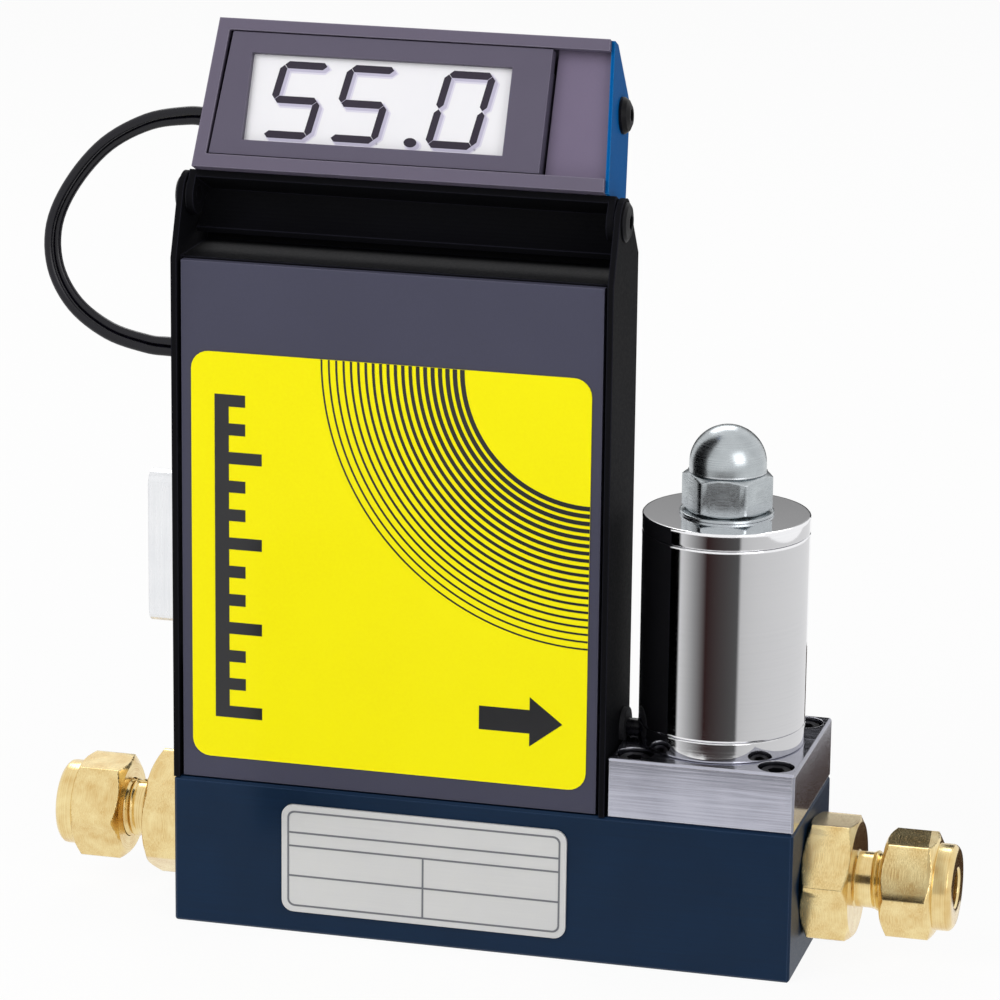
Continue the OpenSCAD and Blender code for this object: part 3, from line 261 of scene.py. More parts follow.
@dataclass(frozen=True)
class Finish:
    """One finish: a colour, a gloss and the marks its making left.

    The marks are a noise field in object coordinates. Brushing stretches the
    field along one axis. Turning reads it at the distance from the lathe axis
    and the place along it, which draws rings.
    """

    name: str
    colour: str
    second: str
    pattern: Pattern
    scale_mm: float
    roughness: float
    patch_mm: float
    metallic: float = 0.0
    bump: float = 0.12
    depth_mm: float = 0.02
    colour_swing: float = 0.5
    rough_swing: float = 0.05
    edge_mm: float = 0.0
    # Lighter colour of the edges: partly wear, partly a painted highlight.
    edge_wear_and_highlight: Optional[str] = None
    coat: float = 0.0
    ior: float = 1.5
    specular: float = 0.5
    centre_mm: tuple[float, float, float] = (0.0, 0.0, 0.0)

    def field_vector(self, tree: Tree, coordinates: Socket) -> Socket:
        """Give the place at which the noise is read for this pattern.

        Args:
            tree: the material's node tree.
            coordinates: object coordinates, in metres.

        Returns:
            A vector socket whose unit is the pattern's own scale.
        """
        fine = 1 / (self.scale_mm * MM)
        coarse = fine / BRUSH_LENGTH
        stretch = {
            Pattern.BRUSHED_X: (coarse, fine, fine),
            Pattern.BRUSHED_Z: (fine, fine, coarse),
        }.get(self.pattern, (fine, fine, fine))
        centre = [c * MM for c in self.centre_mm]
        placed = add(
            tree, "ShaderNodeVectorMath", {"operation": "SUBTRACT"}, {0: coordinates, 1: centre}
        ).outputs[0]
        if self.pattern in (Pattern.TURNED_X, Pattern.TURNED_Z):
            axes = add(tree, "ShaderNodeSeparateXYZ", None, {0: placed}).outputs
            along, one, two = (0, 1, 2) if self.pattern is Pattern.TURNED_X else (2, 0, 1)
            flat = add(tree, "ShaderNodeCombineXYZ", None, {0: axes[one], 1: axes[two]}).outputs[0]
            radius = add(
                tree, "ShaderNodeVectorMath", {"operation": "LENGTH"}, {0: flat}
            ).outputs["Value"]
            placed = add(
                tree, "ShaderNodeCombineXYZ", None, {0: radius, 1: axes[along]}
            ).outputs[0]
        return add(
            tree, "ShaderNodeVectorMath", {"operation": "MULTIPLY"}, {0: placed, 1: stretch}
        ).outputs[0]

    def build(self) -> Material:
        """Build the material.

        Returns:
            A node material named for the finish.
        """
        material = bpy.data.materials.new(self.name)
        material.use_nodes = True
        tree = material.node_tree
        shader = tree.nodes["Principled BSDF"]
        coordinates = add(tree, "ShaderNodeTexCoord").outputs["Object"]
        marks = add(
            tree,
            "ShaderNodeTexNoise",
            {"noise_dimensions": "3D"},
            {
                "Vector": self.field_vector(tree, coordinates),
                "Scale": 1.0,
                "Detail": MARK_DETAIL,
                "Roughness": MARK_FINENESS,
            },
        ).outputs["Fac"]
        patches = add(
            tree,
            "ShaderNodeTexNoise",
            None,
            {"Vector": coordinates, "Scale": 1 / (self.patch_mm * MM), "Detail": PATCH_DETAIL},
        ).outputs["Fac"]
        both = add(
            tree, "ShaderNodeMath", {"operation": "MULTIPLY"}, {0: marks, 1: patches}
        ).outputs[0]
        share = add(
            tree,
            "ShaderNodeMapRange",
            None,
            {0: both, 1: COLOUR_FROM, 2: COLOUR_TO, 3: 0.0, 4: self.colour_swing},
        ).outputs[0]
        colour = add(
            tree,
            "ShaderNodeMix",
            {"data_type": "RGBA"},
            {0: share, 6: linear(self.colour), 7: linear(self.second)},
        ).outputs[2]
        normal = None
        if self.edge_mm > 0:
            normal = add(
                tree, "ShaderNodeBevel", {"samples": EDGE_SAMPLES}, {"Radius": self.edge_mm * MM}
            ).outputs[0]
        # Edges turn to the lighter colour: partly wear, partly a painted highlight where light catches
        # them.
        if self.edge_wear_and_highlight and normal is not None:
            plain = add(tree, "ShaderNodeNewGeometry").outputs["Normal"]
            dot = add(
                tree, "ShaderNodeVectorMath", {"operation": "DOT_PRODUCT"}, {0: normal, 1: plain}
            ).outputs["Value"]
            edge = add(
                tree,
                "ShaderNodeMapRange",
                None,
                {0: dot, 1: EDGE_WEAR_AND_HIGHLIGHT_FROM, 2: EDGE_WEAR_AND_HIGHLIGHT_TO, 3: 0.0, 4: EDGE_WEAR_AND_HIGHLIGHT_SHARE},
            ).outputs[0]
            colour = add(
                tree,
                "ShaderNodeMix",
                {"data_type": "RGBA"},
                {0: edge, 6: colour, 7: linear(self.edge_wear_and_highlight)},
            ).outputs[2]
        rough = add(
            tree,
            "ShaderNodeMapRange",
            None,
            {
                0: marks,
                1: ROUGH_FROM,
                2: ROUGH_TO,
                3: max(SMOOTHEST, self.roughness - self.rough_swing),
                4: min(1.0, self.roughness + self.rough_swing),
            },
        ).outputs[0]
        bump = add(
            tree,
            "ShaderNodeBump",
            None,
            {"Strength": self.bump, "Distance": self.depth_mm * MM, "Height": marks},
        )
        if normal is not None:
            tree.links.new(normal, bump.inputs["Normal"])
        tree.links.new(colour, shader.inputs["Base Color"])
        tree.links.new(rough, shader.inputs["Roughness"])
        tree.links.new(bump.outputs[0], shader.inputs["Normal"])
        shader.inputs["Metallic"].default_value = self.metallic
        shader.inputs["IOR"].default_value = self.ior
        shader.inputs["Specular IOR Level"].default_value = self.specular
        shader.inputs["Coat Weight"].default_value = self.coat
        shader.inputs["Coat Roughness"].default_value = COAT_ROUGHNESS
        return material


FINISHES = (
    # Satin dyed anodising on milled aluminium: a deep blue with a fine grit.
    Finish("blue_black_anodised_aluminium", "#0B233C", "#0E2B49", Pattern.BRUSHED_X, scale_mm=0.25,
           roughness=0.45, patch_mm=12.0, metallic=0.2, depth_mm=0.01, rough_swing=0.06, edge_mm=0.25,
           edge_wear_and_highlight="#3F5474", specular=0.2),
    # Powder paint on folded steel: black with a slight orange peel.
    Finish("black_powder_paint", "#08080B", "#101015", Pattern.GRAIN, scale_mm=0.5, roughness=0.7,
           patch_mm=16.0, bump=0.14, depth_mm=0.03, rough_swing=0.06, edge_mm=0.3, edge_wear_and_highlight="#2A2A36",
           specular=0.08),
    # Matt grey paint on the flat cover: even and dry.
    Finish("matt_grey_paint", "#434354", "#4A4A5D", Pattern.GRAIN, scale_mm=0.4, roughness=0.62,
           patch_mm=20.0, edge_mm=0.25, edge_wear_and_highlight="#6C6C80", specular=0.25),
    # Turned yellow brass: rings from the lathe and warm darker patches.
    Finish("turned_brass", "#F3DFA6", "#C2913F", Pattern.TURNED_X, scale_mm=0.16, roughness=0.2,
           patch_mm=3.0, metallic=1.0, bump=0.2, depth_mm=0.01, colour_swing=0.6, rough_swing=0.08,
           edge_mm=0.18, centre_mm=(0.0, 0.0, AXIS_Z)),
    # Milled stainless block: straight brushing, and broken edges lightened by wear and a painted
    # highlight.
    Finish("brushed_stainless_steel", "#BDBECA", "#8E8F9C", Pattern.BRUSHED_X, scale_mm=0.3,
           roughness=0.17, patch_mm=8.0, metallic=1.0, bump=0.3, depth_mm=0.012, rough_swing=0.08,
           edge_mm=0.25, edge_wear_and_highlight="#E8E8EE"),
    # Machined stainless inside the block.
    Finish("machined_stainless_steel", "#B9BBC0", "#94969C", Pattern.TURNED_Z, scale_mm=0.2,
           roughness=0.3, patch_mm=5.0, metallic=1.0, bump=0.2, depth_mm=0.01, colour_swing=0.4,
           rough_swing=0.08, edge_mm=0.1, centre_mm=(VALVE_X, 0.0, 0.0)),
    # Bright chrome on the solenoid: a mirror with the faintest turning rings.
    Finish("bright_chrome_plate", "#F4F4F6", "#E8E8EB", Pattern.TURNED_Z, scale_mm=0.35,
           roughness=0.06, patch_mm=14.0, metallic=1.0, bump=0.04, depth_mm=0.004, colour_swing=0.3,
           rough_swing=0.03, edge_mm=0.2, centre_mm=(VALVE_X, 0.0, 0.0)),
    # Zinc plate on the cap nut: satin grey and slightly cloudy.
    Finish("satin_zinc_plate", "#BCC2C5", "#8E9397", Pattern.TURNED_Z, scale_mm=0.22, roughness=0.26,
           patch_mm=3.0, metallic=1.0, bump=0.18, depth_mm=0.01, rough_swing=0.08, edge_mm=0.25,
           edge_wear_and_highlight="#DADCE0", centre_mm=(VALVE_X, 0.0, 0.0)),
    # Oiled black oxide on the screws: dark with a low metal sheen.
    Finish("black_oxide_steel", "#0B0B0E", "#17161A", Pattern.GRAIN, scale_mm=0.2, roughness=0.42,
           patch_mm=2.0, metallic=0.3, depth_mm=0.01, rough_swing=0.08, edge_mm=0.15, edge_wear_and_highlight="#2A2A32",
           specular=0.15),
    # Soft moulded rubber: dull and even.
    Finish("moulded_rubber", "#17171B", "#222228", Pattern.GRAIN, scale_mm=0.25, roughness=0.7,
           patch_mm=3.0, bump=0.15, colour_swing=0.4),
    # Screen-printed polyester film: flat bright yellow under a clear face.
    Finish("yellow_polyester_film", "#FFF500", "#FAEC00", Pattern.GRAIN, scale_mm=0.6, roughness=0.34,
           patch_mm=24.0, bump=0.04, depth_mm=0.01, rough_swing=0.03, specular=0.15),
    # Black printing ink on the film.
    Finish("black_printing_ink", "#17171A", "#202024", Pattern.GRAIN, scale_mm=0.3, roughness=0.45,
           patch_mm=6.0, bump=0.04, depth_mm=0.005, rough_swing=0.04),
    # Printed foil plate: pale silver-grey, satin.
    Finish("silver_foil_plate", "#D6D6D6", "#CCCCCE", Pattern.BRUSHED_X, scale_mm=0.2, roughness=0.42,
           patch_mm=10.0, metallic=0.15, bump=0.08, depth_mm=0.005, colour_swing=0.4, edge_mm=0.15,
           edge_wear_and_highlight="#F6F6F6"),
    # Grey line print on the foil plate.
    Finish("grey_printing_ink", "#6E7076", "#7A7C82", Pattern.GRAIN, scale_mm=0.3, roughness=0.5,
           patch_mm=6.0, bump=0.04, depth_mm=0.005, colour_swing=0.4, rough_swing=0.04),
    # Painted folded case of the readout: grey with a violet cast.
    Finish("violet_grey_paint", "#5C5567", "#635C70", Pattern.GRAIN, scale_mm=0.35, roughness=0.5,
           patch_mm=14.0, edge_mm=0.3, edge_wear_and_highlight="#9A92A6"),
    # Blank panel behind the case's lips.
    Finish("matt_violet_grey_paint", "#6F647C", "#776C83", Pattern.GRAIN, scale_mm=0.35, roughness=0.6,
           patch_mm=12.0, edge_mm=0.2, edge_wear_and_highlight="#8E829C"),
    # Moulded ABS bezel: fine spark-eroded grain.
    Finish("moulded_abs", "#534D5F", "#5A5566", Pattern.GRAIN, scale_mm=0.3, roughness=0.55,
           patch_mm=10.0, bump=0.2, rough_swing=0.06, edge_mm=0.3, edge_wear_and_highlight="#7C758A"),
    # Face of the liquid-crystal cell: near white under polished glass.
    Finish("liquid_crystal_cell", "#F1F0F3", "#ECEBF0", Pattern.MOTTLED, scale_mm=6.0, roughness=0.16,
           patch_mm=18.0, bump=0.02, depth_mm=0.005, rough_swing=0.03, coat=0.6, ior=1.52),
    # Dark strokes of the display.
    Finish("liquid_crystal_stroke", "#37323D", "#433E49", Pattern.GRAIN, scale_mm=0.4, roughness=0.35,
           patch_mm=8.0, bump=0.02, depth_mm=0.003, colour_swing=0.4, rough_swing=0.04, specular=0.1),
    # Soft shadow that the strokes throw on the reflector, pale outer part.
    Finish("stroke_shadow_pale", "#D9D6E4", "#DEDBE8", Pattern.GRAIN, scale_mm=0.4, roughness=0.4,
           patch_mm=8.0, bump=0.02, depth_mm=0.003, colour_swing=0.4, rough_swing=0.04),
    # Soft shadow that the strokes throw on the reflector, inner part.
    Finish("stroke_shadow", "#BDB8CE", "#C4BFD4", Pattern.GRAIN, scale_mm=0.4, roughness=0.4,
           patch_mm=8.0, bump=0.02, depth_mm=0.003, colour_swing=0.4, rough_swing=0.04),
    # Anodised end plate: its saturated blue is the blue light on that side, painted into the colour.
    Finish("anodised_plate_with_painted_blue_light", "#005A9E", "#00528F", Pattern.BRUSHED_X, scale_mm=0.2,
           roughness=0.5, patch_mm=12.0, bump=0.1, depth_mm=0.01, edge_mm=0.25, edge_wear_and_highlight="#3E8FD0",
           specular=0.05),
    # Glass-epoxy board under green solder resist.
    Finish("green_solder_resist", "#1E6B3C", "#185A32", Pattern.GRAIN, scale_mm=0.5, roughness=0.35,
           patch_mm=6.0, rough_swing=0.06),
    # Black epoxy of chips and moulded parts.
    Finish("moulded_black_epoxy", "#26262A", "#2E2E33", Pattern.GRAIN, scale_mm=0.25, roughness=0.55,
           patch_mm=4.0, bump=0.15, rough_swing=0.06, edge_mm=0.15, edge_wear_and_highlight="#3C3C42"),
    # Natural nylon: creamy and slightly glossy.
    Finish("natural_nylon", "#E8E4D8", "#DED9CA", Pattern.GRAIN, scale_mm=0.4, roughness=0.42,
           patch_mm=5.0, bump=0.1, edge_mm=0.15, edge_wear_and_highlight="#F2EFE6"),
    # Enamelled copper wire, wound in layers.
    Finish("enamelled_copper_wire", "#A8602C", "#7E4218", Pattern.TURNED_Z, scale_mm=0.3,
           roughness=0.3, patch_mm=3.0, metallic=1.0, bump=0.5, depth_mm=0.05, colour_swing=0.6,
           rough_swing=0.1, centre_mm=(VALVE_X, 0.0, 0.0)),
    # Bright tin plate on the connector's shell.
    Finish("bright_tin_plate", "#F2F3F5", "#DDDFE3", Pattern.BRUSHED_Z, scale_mm=0.3, roughness=0.3,
           patch_mm=6.0, metallic=1.0, depth_mm=0.01, colour_swing=0.4, rough_swing=0.06, edge_mm=0.2,
           edge_wear_and_highlight="#F2F2F4"),
    # Soft vinyl jacket of the twin lead: black with a cool sheen.
    Finish("vinyl_jacket", "#07060E", "#0D0B18", Pattern.GRAIN, scale_mm=0.8, roughness=0.28,
           patch_mm=5.0, bump=0.06, specular=0.35),
)

# The finish of each solid that keeps its own shape.
CAD_FINISHES = {
    "blue_black_anodised_aluminium": ("flow_block",),
    "machined_stainless_steel": (
        "inlet_screen", "flow_restrictor", "board_spacers", "sensor_tube", "valve_seat",
        "valve_plunger", "plunger_spring", "core_tube",
    ),
    "moulded_rubber": (
        "fitting_o_rings", "passage_o_rings", "housing_grommet", "coil_lead_grommet",
        "readout_grommet",
    ),
    "turned_brass": ("front_ferrules", "back_ferrules", "d_sub_pins"),
    "silver_foil_plate": ("nameplate",),
    "grey_printing_ink": ("nameplate_print",),
    "black_powder_paint": ("housing_wrap", "tilt_bracket"),
    "satin_zinc_plate": ("housing_screws", "sensor_screws", "d_sub_screws"),
    "matt_grey_paint": ("front_cover",),
    "black_oxide_steel": ("cover_screws", "valve_base_screws", "pivot_screws", "case_screw"),
    "yellow_polyester_film": ("front_label",),
    "black_printing_ink": ("label_print",),
    "green_solder_resist": ("main_board", "readout_board"),
    "moulded_black_epoxy": (
        "board_components", "d_sub_insulator", "coil_bobbin", "friction_washers",
    ),
    "brushed_stainless_steel": ("sensor_block", "valve_base"),
    "enamelled_copper_wire": ("sensor_windings", "coil_winding"),
    "natural_nylon": ("sensor_cover",),
    "bright_tin_plate": ("d_sub_shell",),
    "vinyl_jacket": ("coil_lead",),
    "violet_grey_paint": ("readout_case",),
    # The end plate's saturated blue is a painted blue light.
    "anodised_plate_with_painted_blue_light": ("readout_end_plate",),
    "matt_violet_grey_paint": ("blank_panel",),
    "moulded_abs": ("meter_bezel",),
    "liquid_crystal_cell": ("lcd_glass",),
    "liquid_crystal_stroke": ("lcd_digits",),
}


@dataclass
class Finishes:
    """The finishes, each built once when first asked for."""

    made: dict[str, Material] = field(default_factory=dict)

    def get(self, name: str) -> Material:
        """Give the material of that name.

        Args:
            name: name of a finish in the list above.

        Returns:
            The material, built on first use.
        """
        if name not in self.made:
            recipe = {finish.name: finish for finish in FINISHES}[name]
            self.made[name] = recipe.build()
        return self.made[name]


# ------------------------------------------------------------------- studio


@dataclass(frozen=True)
class Lamp:
    """One soft area lamp: its place, its width and height, and its power."""

    name: str
    place_mm: tuple[float, float, float]
    size_mm: tuple[float, float]
    watts: float
    mirrored: bool = True

    def build(self, target_mm: Sequence[float]) -> Object:
        """Make the lamp and turn it to the object.

        Args:
            target_mm: the point that it faces.

        Returns:
            The lamp's object.
        """
        data = bpy.data.lights.new(self.name, "AREA")
        data.shape = "RECTANGLE"
        data.size, data.size_y = self.size_mm[0] * MM, self.size_mm[1] * MM
        data.energy = self.watts
        made = bpy.data.objects.new(self.name, data)
        made.location = Vector(self.place_mm) * MM
        aim = Vector(target_mm) * MM - made.location
        made.rotation_mode = "QUATERNION"
        made.rotation_quaternion = aim.to_track_quat("-Z", "Y")
        made.visible_glossy = self.mirrored
        bpy.context.scene.collection.objects.link(made)
        return made


@dataclass
class Studio:
    """Camera, lamps, floor and the cards that the metal mirrors.

    The tones of the screen go with compass directions from the valve, 0 to
    the front and positive to the right. Those of the rear card go with
    heights.
    """

    camera_mm: tuple[float, float, float] = (188.6, -731.4, 281.6)
    looks: tuple[float, float, float] = (-0.2420, 0.9331, -0.2661)
    roll_deg: float = 0.69
    lens_mm: float = 171.83
    sensor_mm: float = 36.0
    clip_m: tuple[float, float] = (0.05, 20.0)
    target_mm: tuple[float, float, float] = (0.0, 0.0, 70.0)
    lamps: tuple[Lamp, ...] = (
        Lamp("key_lamp", (-420, -620, 760), (700, 700), 4.85, mirrored=False),
        Lamp("fill_lamp", (620, -520, 420), (500, 500), 1.7),
        Lamp("rear_lamp", (-200, 620, 620), (500, 300), 1.5),
    )
    screen_reach: float = 80.0
    screen_z: tuple[float, float] = (14.5, 65.0)
    screen_tones: tuple[tuple[float, str], ...] = (
        (-74, "#000000"), (-49, "#000000"), (-46, "#D0D0D0"), (-27, "#909090"),
        (-11, "#302020"), (28, "#505050"), (32, "#C0C0C0"), (160, "#E8E8E8"),
    )
    rear_x: tuple[float, float] = (-110.0, 80.0)
    rear_y: float = 160.0
    rear_tones: tuple[tuple[float, str], ...] = (
        (45, "#909090"), (55, "#101010"), (104, "#101010"), (114, "#909090"), (150, "#B8B8B8"),
    )
    side_x: tuple[float, float] = (58.0, 130.0)
    side_y: tuple[float, float] = (30.0, 170.0)
    side_z: float = 0.05
    side_tone: str = "#403028"
    floor_tone: str = "#F4F4F4"
    floor_roughness: float = 0.95
    floor_reach: float = 6000.0
    floor_cells: int = 8
    floor_z: float = -0.02
    floor_glow: float = 0.93
    air_glow: float = 0.4

    def make_camera(self) -> Object:
        """Make the camera.

        Its right-hand axis is level, then tipped by the roll.

        Returns:
            The camera, which the scene uses.
        """
        forward = Vector(self.looks).normalized()
        level = forward.cross(Vector((0, 0, 1))).normalized()
        upright = level.cross(forward)
        turn = math.radians(self.roll_deg)
        right = level * math.cos(turn) + upright * math.sin(turn)
        up = right.cross(forward)
        data = bpy.data.cameras.new("camera")
        data.sensor_width = self.sensor_mm
        data.lens = self.lens_mm
        data.clip_start, data.clip_end = self.clip_m
        camera = bpy.data.objects.new("camera", data)
        place = Matrix((right, up, -forward)).transposed().to_4x4()
        place.translation = Vector(self.camera_mm) * MM
        camera.matrix_world = place
        bpy.context.scene.collection.objects.link(camera)
        bpy.context.scene.camera = camera
        return camera

    def card(self, name: str, points: np.ndarray, tones: Sequence[str]) -> Object:
        """Make a card that only reflections see, toned from row to row.

        Each row of points takes one tone, and the tones blend between rows.

        Args:
            name: name of the card.
            points: rows x 2 x 3 points, in millimetres.
            tones: one colour for each row.

        Returns:
            The card.
        """
        made = surface(name, points)
        values = np.repeat(np.array([linear(tone) for tone in tones]), 2, axis=0)
        attribute = made.data.color_attributes.new("tone", "FLOAT_COLOR", "POINT")
        attribute.data.foreach_set("color", values.astype(np.float32).ravel())
        material = bpy.data.materials.new(name + "_paper")
        material.use_nodes = True
        tree = material.node_tree
        tone = add(tree, "ShaderNodeAttribute", {"attribute_name": "tone"}).outputs["Color"]
        glow = add(tree, "ShaderNodeEmission", None, {"Color": tone, "Strength": 1.0}).outputs[0]
        tree.links.new(glow, tree.nodes["Material Output"].inputs["Surface"])
        dress(made, material)
        made.visible_camera = False
        made.visible_diffuse = False
        made.visible_shadow = False
        return made

    def make_cards(self) -> None:
        """Stand up the toned cards that the polished metal mirrors.

        The screen bends round the valve, above what the steel base mirrors:
        a black flag, a bright strip that fades into a dark flag, and a pale
        sweep to the right. The rear card darkens the top of the base, and the
        side card on the floor darkens its flank.
        """
        low, high = self.screen_z
        way = np.radians(np.array([angle for angle, _ in self.screen_tones], float))
        x, y = VALVE_X + self.screen_reach * np.sin(way), -self.screen_reach * np.cos(way)
        foot = np.stack([x, y, np.full(len(way), low)], axis=-1)
        points = np.stack([foot, foot + np.array([0.0, 0.0, high - low])], axis=1)
        self.card("valve_screen", points, [tone for _, tone in self.screen_tones])
        rows = [[[x, self.rear_y, z] for x in self.rear_x] for z, _ in self.rear_tones]
        self.card("rear_card", np.array(rows, float), [tone for _, tone in self.rear_tones])
        rows = [[[x, y, self.side_z] for x in self.side_x] for y in self.side_y]
        self.card("side_card", np.array(rows), [self.side_tone] * len(rows))

    def make_floor(self) -> Object:
        """Make the pale floor, which lights up white to the eye and to metal.

        Returns:
            The floor.
        """
        share = np.linspace(-1.0, 1.0, self.floor_cells + 1) * self.floor_reach
        x, y = np.meshgrid(share, share, indexing="xy")
        floor = surface("floor", np.stack([x, y, np.full_like(x, self.floor_z)], axis=-1))
        material = bpy.data.materials.new("white_paper_floor")
        material.use_nodes = True
        tree = material.node_tree
        shader = tree.nodes["Principled BSDF"]
        shader.inputs["Base Color"].default_value = linear(self.floor_tone)
        shader.inputs["Roughness"].default_value = self.floor_roughness
        share_of = add(
            tree, "ShaderNodeMath", {"operation": "MULTIPLY"}, {0: looked_at(tree), 1: self.floor_glow}
        ).outputs[0]
        glow = add(tree, "ShaderNodeEmission", None, {"Color": (1, 1, 1, 1), "Strength": 1.0}).outputs[0]
        mixed = add(
            tree, "ShaderNodeMixShader", None, {0: share_of, 1: shader.outputs[0], 2: glow}
        ).outputs[0]
        tree.links.new(mixed, tree.nodes["Material Output"].inputs["Surface"])
        dress(floor, material)
        return floor

    def make_world(self) -> None:
        """Light all round: dim on surfaces, white to the eye and to metal."""
        world = bpy.data.worlds.new("studio_air")
        bpy.context.scene.world = world
        world.use_nodes = True
        tree = world.node_tree
        back = tree.nodes["Background"]
        strength = add(
            tree, "ShaderNodeMath", {"operation": "MAXIMUM"}, {0: looked_at(tree), 1: self.air_glow}
        ).outputs[0]
        back.inputs["Color"].default_value = (1, 1, 1, 1)
        tree.links.new(strength, back.inputs["Strength"])

    def build(self) -> None:
        """Make everything in the studio except the camera."""
        bpy.context.scene.view_settings.view_transform = "Standard"
        self.make_world()
        self.make_floor()
        for lamp in self.lamps:
            lamp.build(self.target_mm)
        self.make_cards()


# -------------------------------------------------------------- twin lead


@dataclass
class ReadoutLead:
    """Twin lead that loops from the readout into the housing's side.

    Its route repeats the route of the CAD tube. The section is two round
    strands that touch: its half width in a direction is the strand centre's
    offset along that direction plus what the round strand adds.
    """

    route_mm: tuple[tuple[float, float, float], ...] = (
        (-50.6, -2.1, 134.3), (-54, -2.1, 134.3), (-60.5, -2.6, 133), (-67.5, -3.4, 129),
        (-73, -4.4, 122.5), (-76, -5.4, 115.5), (-75.6, -6.2, 108.5), (-72, -6.9, 102.6),
        (-66, -7.3, 98.6), (-59.5, -7.4, 96.9), (-56, -7.4, 96.7), (-53.6, -7.4, 96.7),
    )
    strand_r: float = 0.8
    strand_offset: float = 0.8
    twist_deg: float = 60.0
    steps: int = 6
    around: int = 28

    def centreline(self) -> np.ndarray:
        """Give the smooth centreline in millimetres.

        Each stretch between two route points is a cubic whose slope at a
        point is half the step from the point before to the point after.

        Returns:
            Points along the route, the last route point among them.
        """
        p = np.array(self.route_mm, float)
        padded = np.vstack([2 * p[0] - p[1], p, 2 * p[-1] - p[-2]])
        t = np.linspace(0, 1, self.steps, endpoint=False)[None, :, None]
        a, b, c, d = (padded[k : k + len(p) - 1][:, None, :] for k in range(4))
        squared, cubed = 2 * a - 5 * b + 4 * c - d, 3 * b - a - 3 * c + d
        curve = 0.5 * (2 * b + (c - a) * t + squared * t**2 + cubed * t**3)
        return np.vstack([curve.reshape(-1, 3), p[-1:]])

    def build(self, finishes: Finishes) -> Object:
        """At both ends the section's wide way lies in the loop's own plane. It
        turns out of that plane by the twist halfway along.

        Args:
            finishes: store of finishes.

        Returns:
            The lead.
        """
        line = self.centreline()
        along = np.gradient(line, axis=0)
        along /= np.linalg.norm(along, axis=1)[:, None]
        across = np.cross(along, np.array([0.0, 1.0, 0.0]))
        across /= np.linalg.norm(across, axis=1)[:, None]
        thin = np.cross(across, along)
        halfway = np.sin(np.linspace(0, math.pi, len(line)))[:, None]
        twist = math.radians(self.twist_deg) * halfway
        across, thin = (
            across * np.cos(twist) + thin * np.sin(twist),
            thin * np.cos(twist) - across * np.sin(twist),
        )
        phi = np.linspace(0, 2 * math.pi, self.around, endpoint=False)
        c, r = self.strand_offset, self.strand_r
        reach = c * np.abs(np.cos(phi)) + np.sqrt(r**2 - (c * np.sin(phi)) ** 2)
        section = np.stack([reach * np.cos(phi), reach * np.sin(phi)], axis=-1)
        points = (
            line[:, None, :]
            + across[:, None, :] * section[None, :, :1]
            + thin[:, None, :] * section[None, :, 1:]
        )
        start, end = line[:1][:, None, :], line[-1:][:, None, :]
        cap = np.ones((1, self.around, 1))
        points = np.concatenate([start * cap, points, end * cap], axis=0)
        lead = outward(surface("twin_readout_lead", points, close_columns=True))
        dress(lead, finishes.get("vinyl_jacket"))
        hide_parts("readout_cable")
        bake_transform(lead)
        return lead


# ------------------------------------------------------------ turned pieces

# Corners are turned off a hexagon at this share of their reach, in cones that
# fall at this angle.
CORNER_SHARE = 0.985
CONE_DEG = 30
# A corner's rounding takes at most this share of the shorter edge beside it.
ROUNDING_SHARE = 0.4


@dataclass
class Turned:
    """A piece turned on a lathe, with hexagonal stretches milled from it.

    A profile gives, for each point, the place along the axis and the radius.
    Where the profile is marked as hexagonal, the radius at an angle is the
    smaller of the profile's and the hexagon's own distance at that angle,
    which is half the flats over the cosine of the angle from the nearest
    flat's middle. Threads shift the profile along the axis with the angle.
    """

    name: str
    profile: np.ndarray
    hexagonal: np.ndarray
    flats: float = 0.0
    turn_deg: float = 0.0
    around: int = 144
    pitch: float = 0.0
    threaded: Optional[np.ndarray] = None

    def local_points(self) -> np.ndarray:
        """Give the grid of points about the local z axis.

        Returns:
            Profile points x angles x 3, in millimetres.
        """
        theta = np.linspace(0, 2 * math.pi, self.around, endpoint=False)
        along = np.repeat(self.profile[:, :1], self.around, axis=1)
        radius = np.repeat(self.profile[:, 1:2], self.around, axis=1)
        if self.flats > 0:
            turned = theta - math.radians(self.turn_deg)
            sector = math.pi / 3
            off = np.mod(turned, sector) - sector / 2
            edge = self.flats / 2 / np.cos(off)
            radius = np.where(self.hexagonal[:, None], np.minimum(radius, edge[None, :]), radius)
        if self.threaded is not None:
            shift = self.pitch * theta / (2 * math.pi)
            along = along + self.threaded[:, None] * shift[None, :]
        return np.stack([radius * np.cos(theta), radius * np.sin(theta), along], axis=-1)

    def at_port(self, side: int) -> Object:
        """Build the piece at an end face of the flow block.

        Args:
            side: -1 for the inlet and 1 for the outlet.

        Returns:
            The piece.
        """
        p = self.local_points()
        placed = np.stack(
            [side * (BLOCK_END_X + p[..., 2]), p[..., 1], AXIS_Z - side * p[..., 0]], axis=-1
        )
        return outward(surface(self.name, placed, close_rows=True, close_columns=True))

    def on_valve(self, closed: bool = True) -> Object:
        """Build the piece on the valve's upright axis.

        Args:
            closed: the profile is a loop; else its ends lie on the axis.

        Returns:
            The piece.
        """
        placed = self.local_points() + np.array([VALVE_X, 0.0, 0.0])
        return outward(surface(self.name, placed, close_rows=closed, close_columns=True))


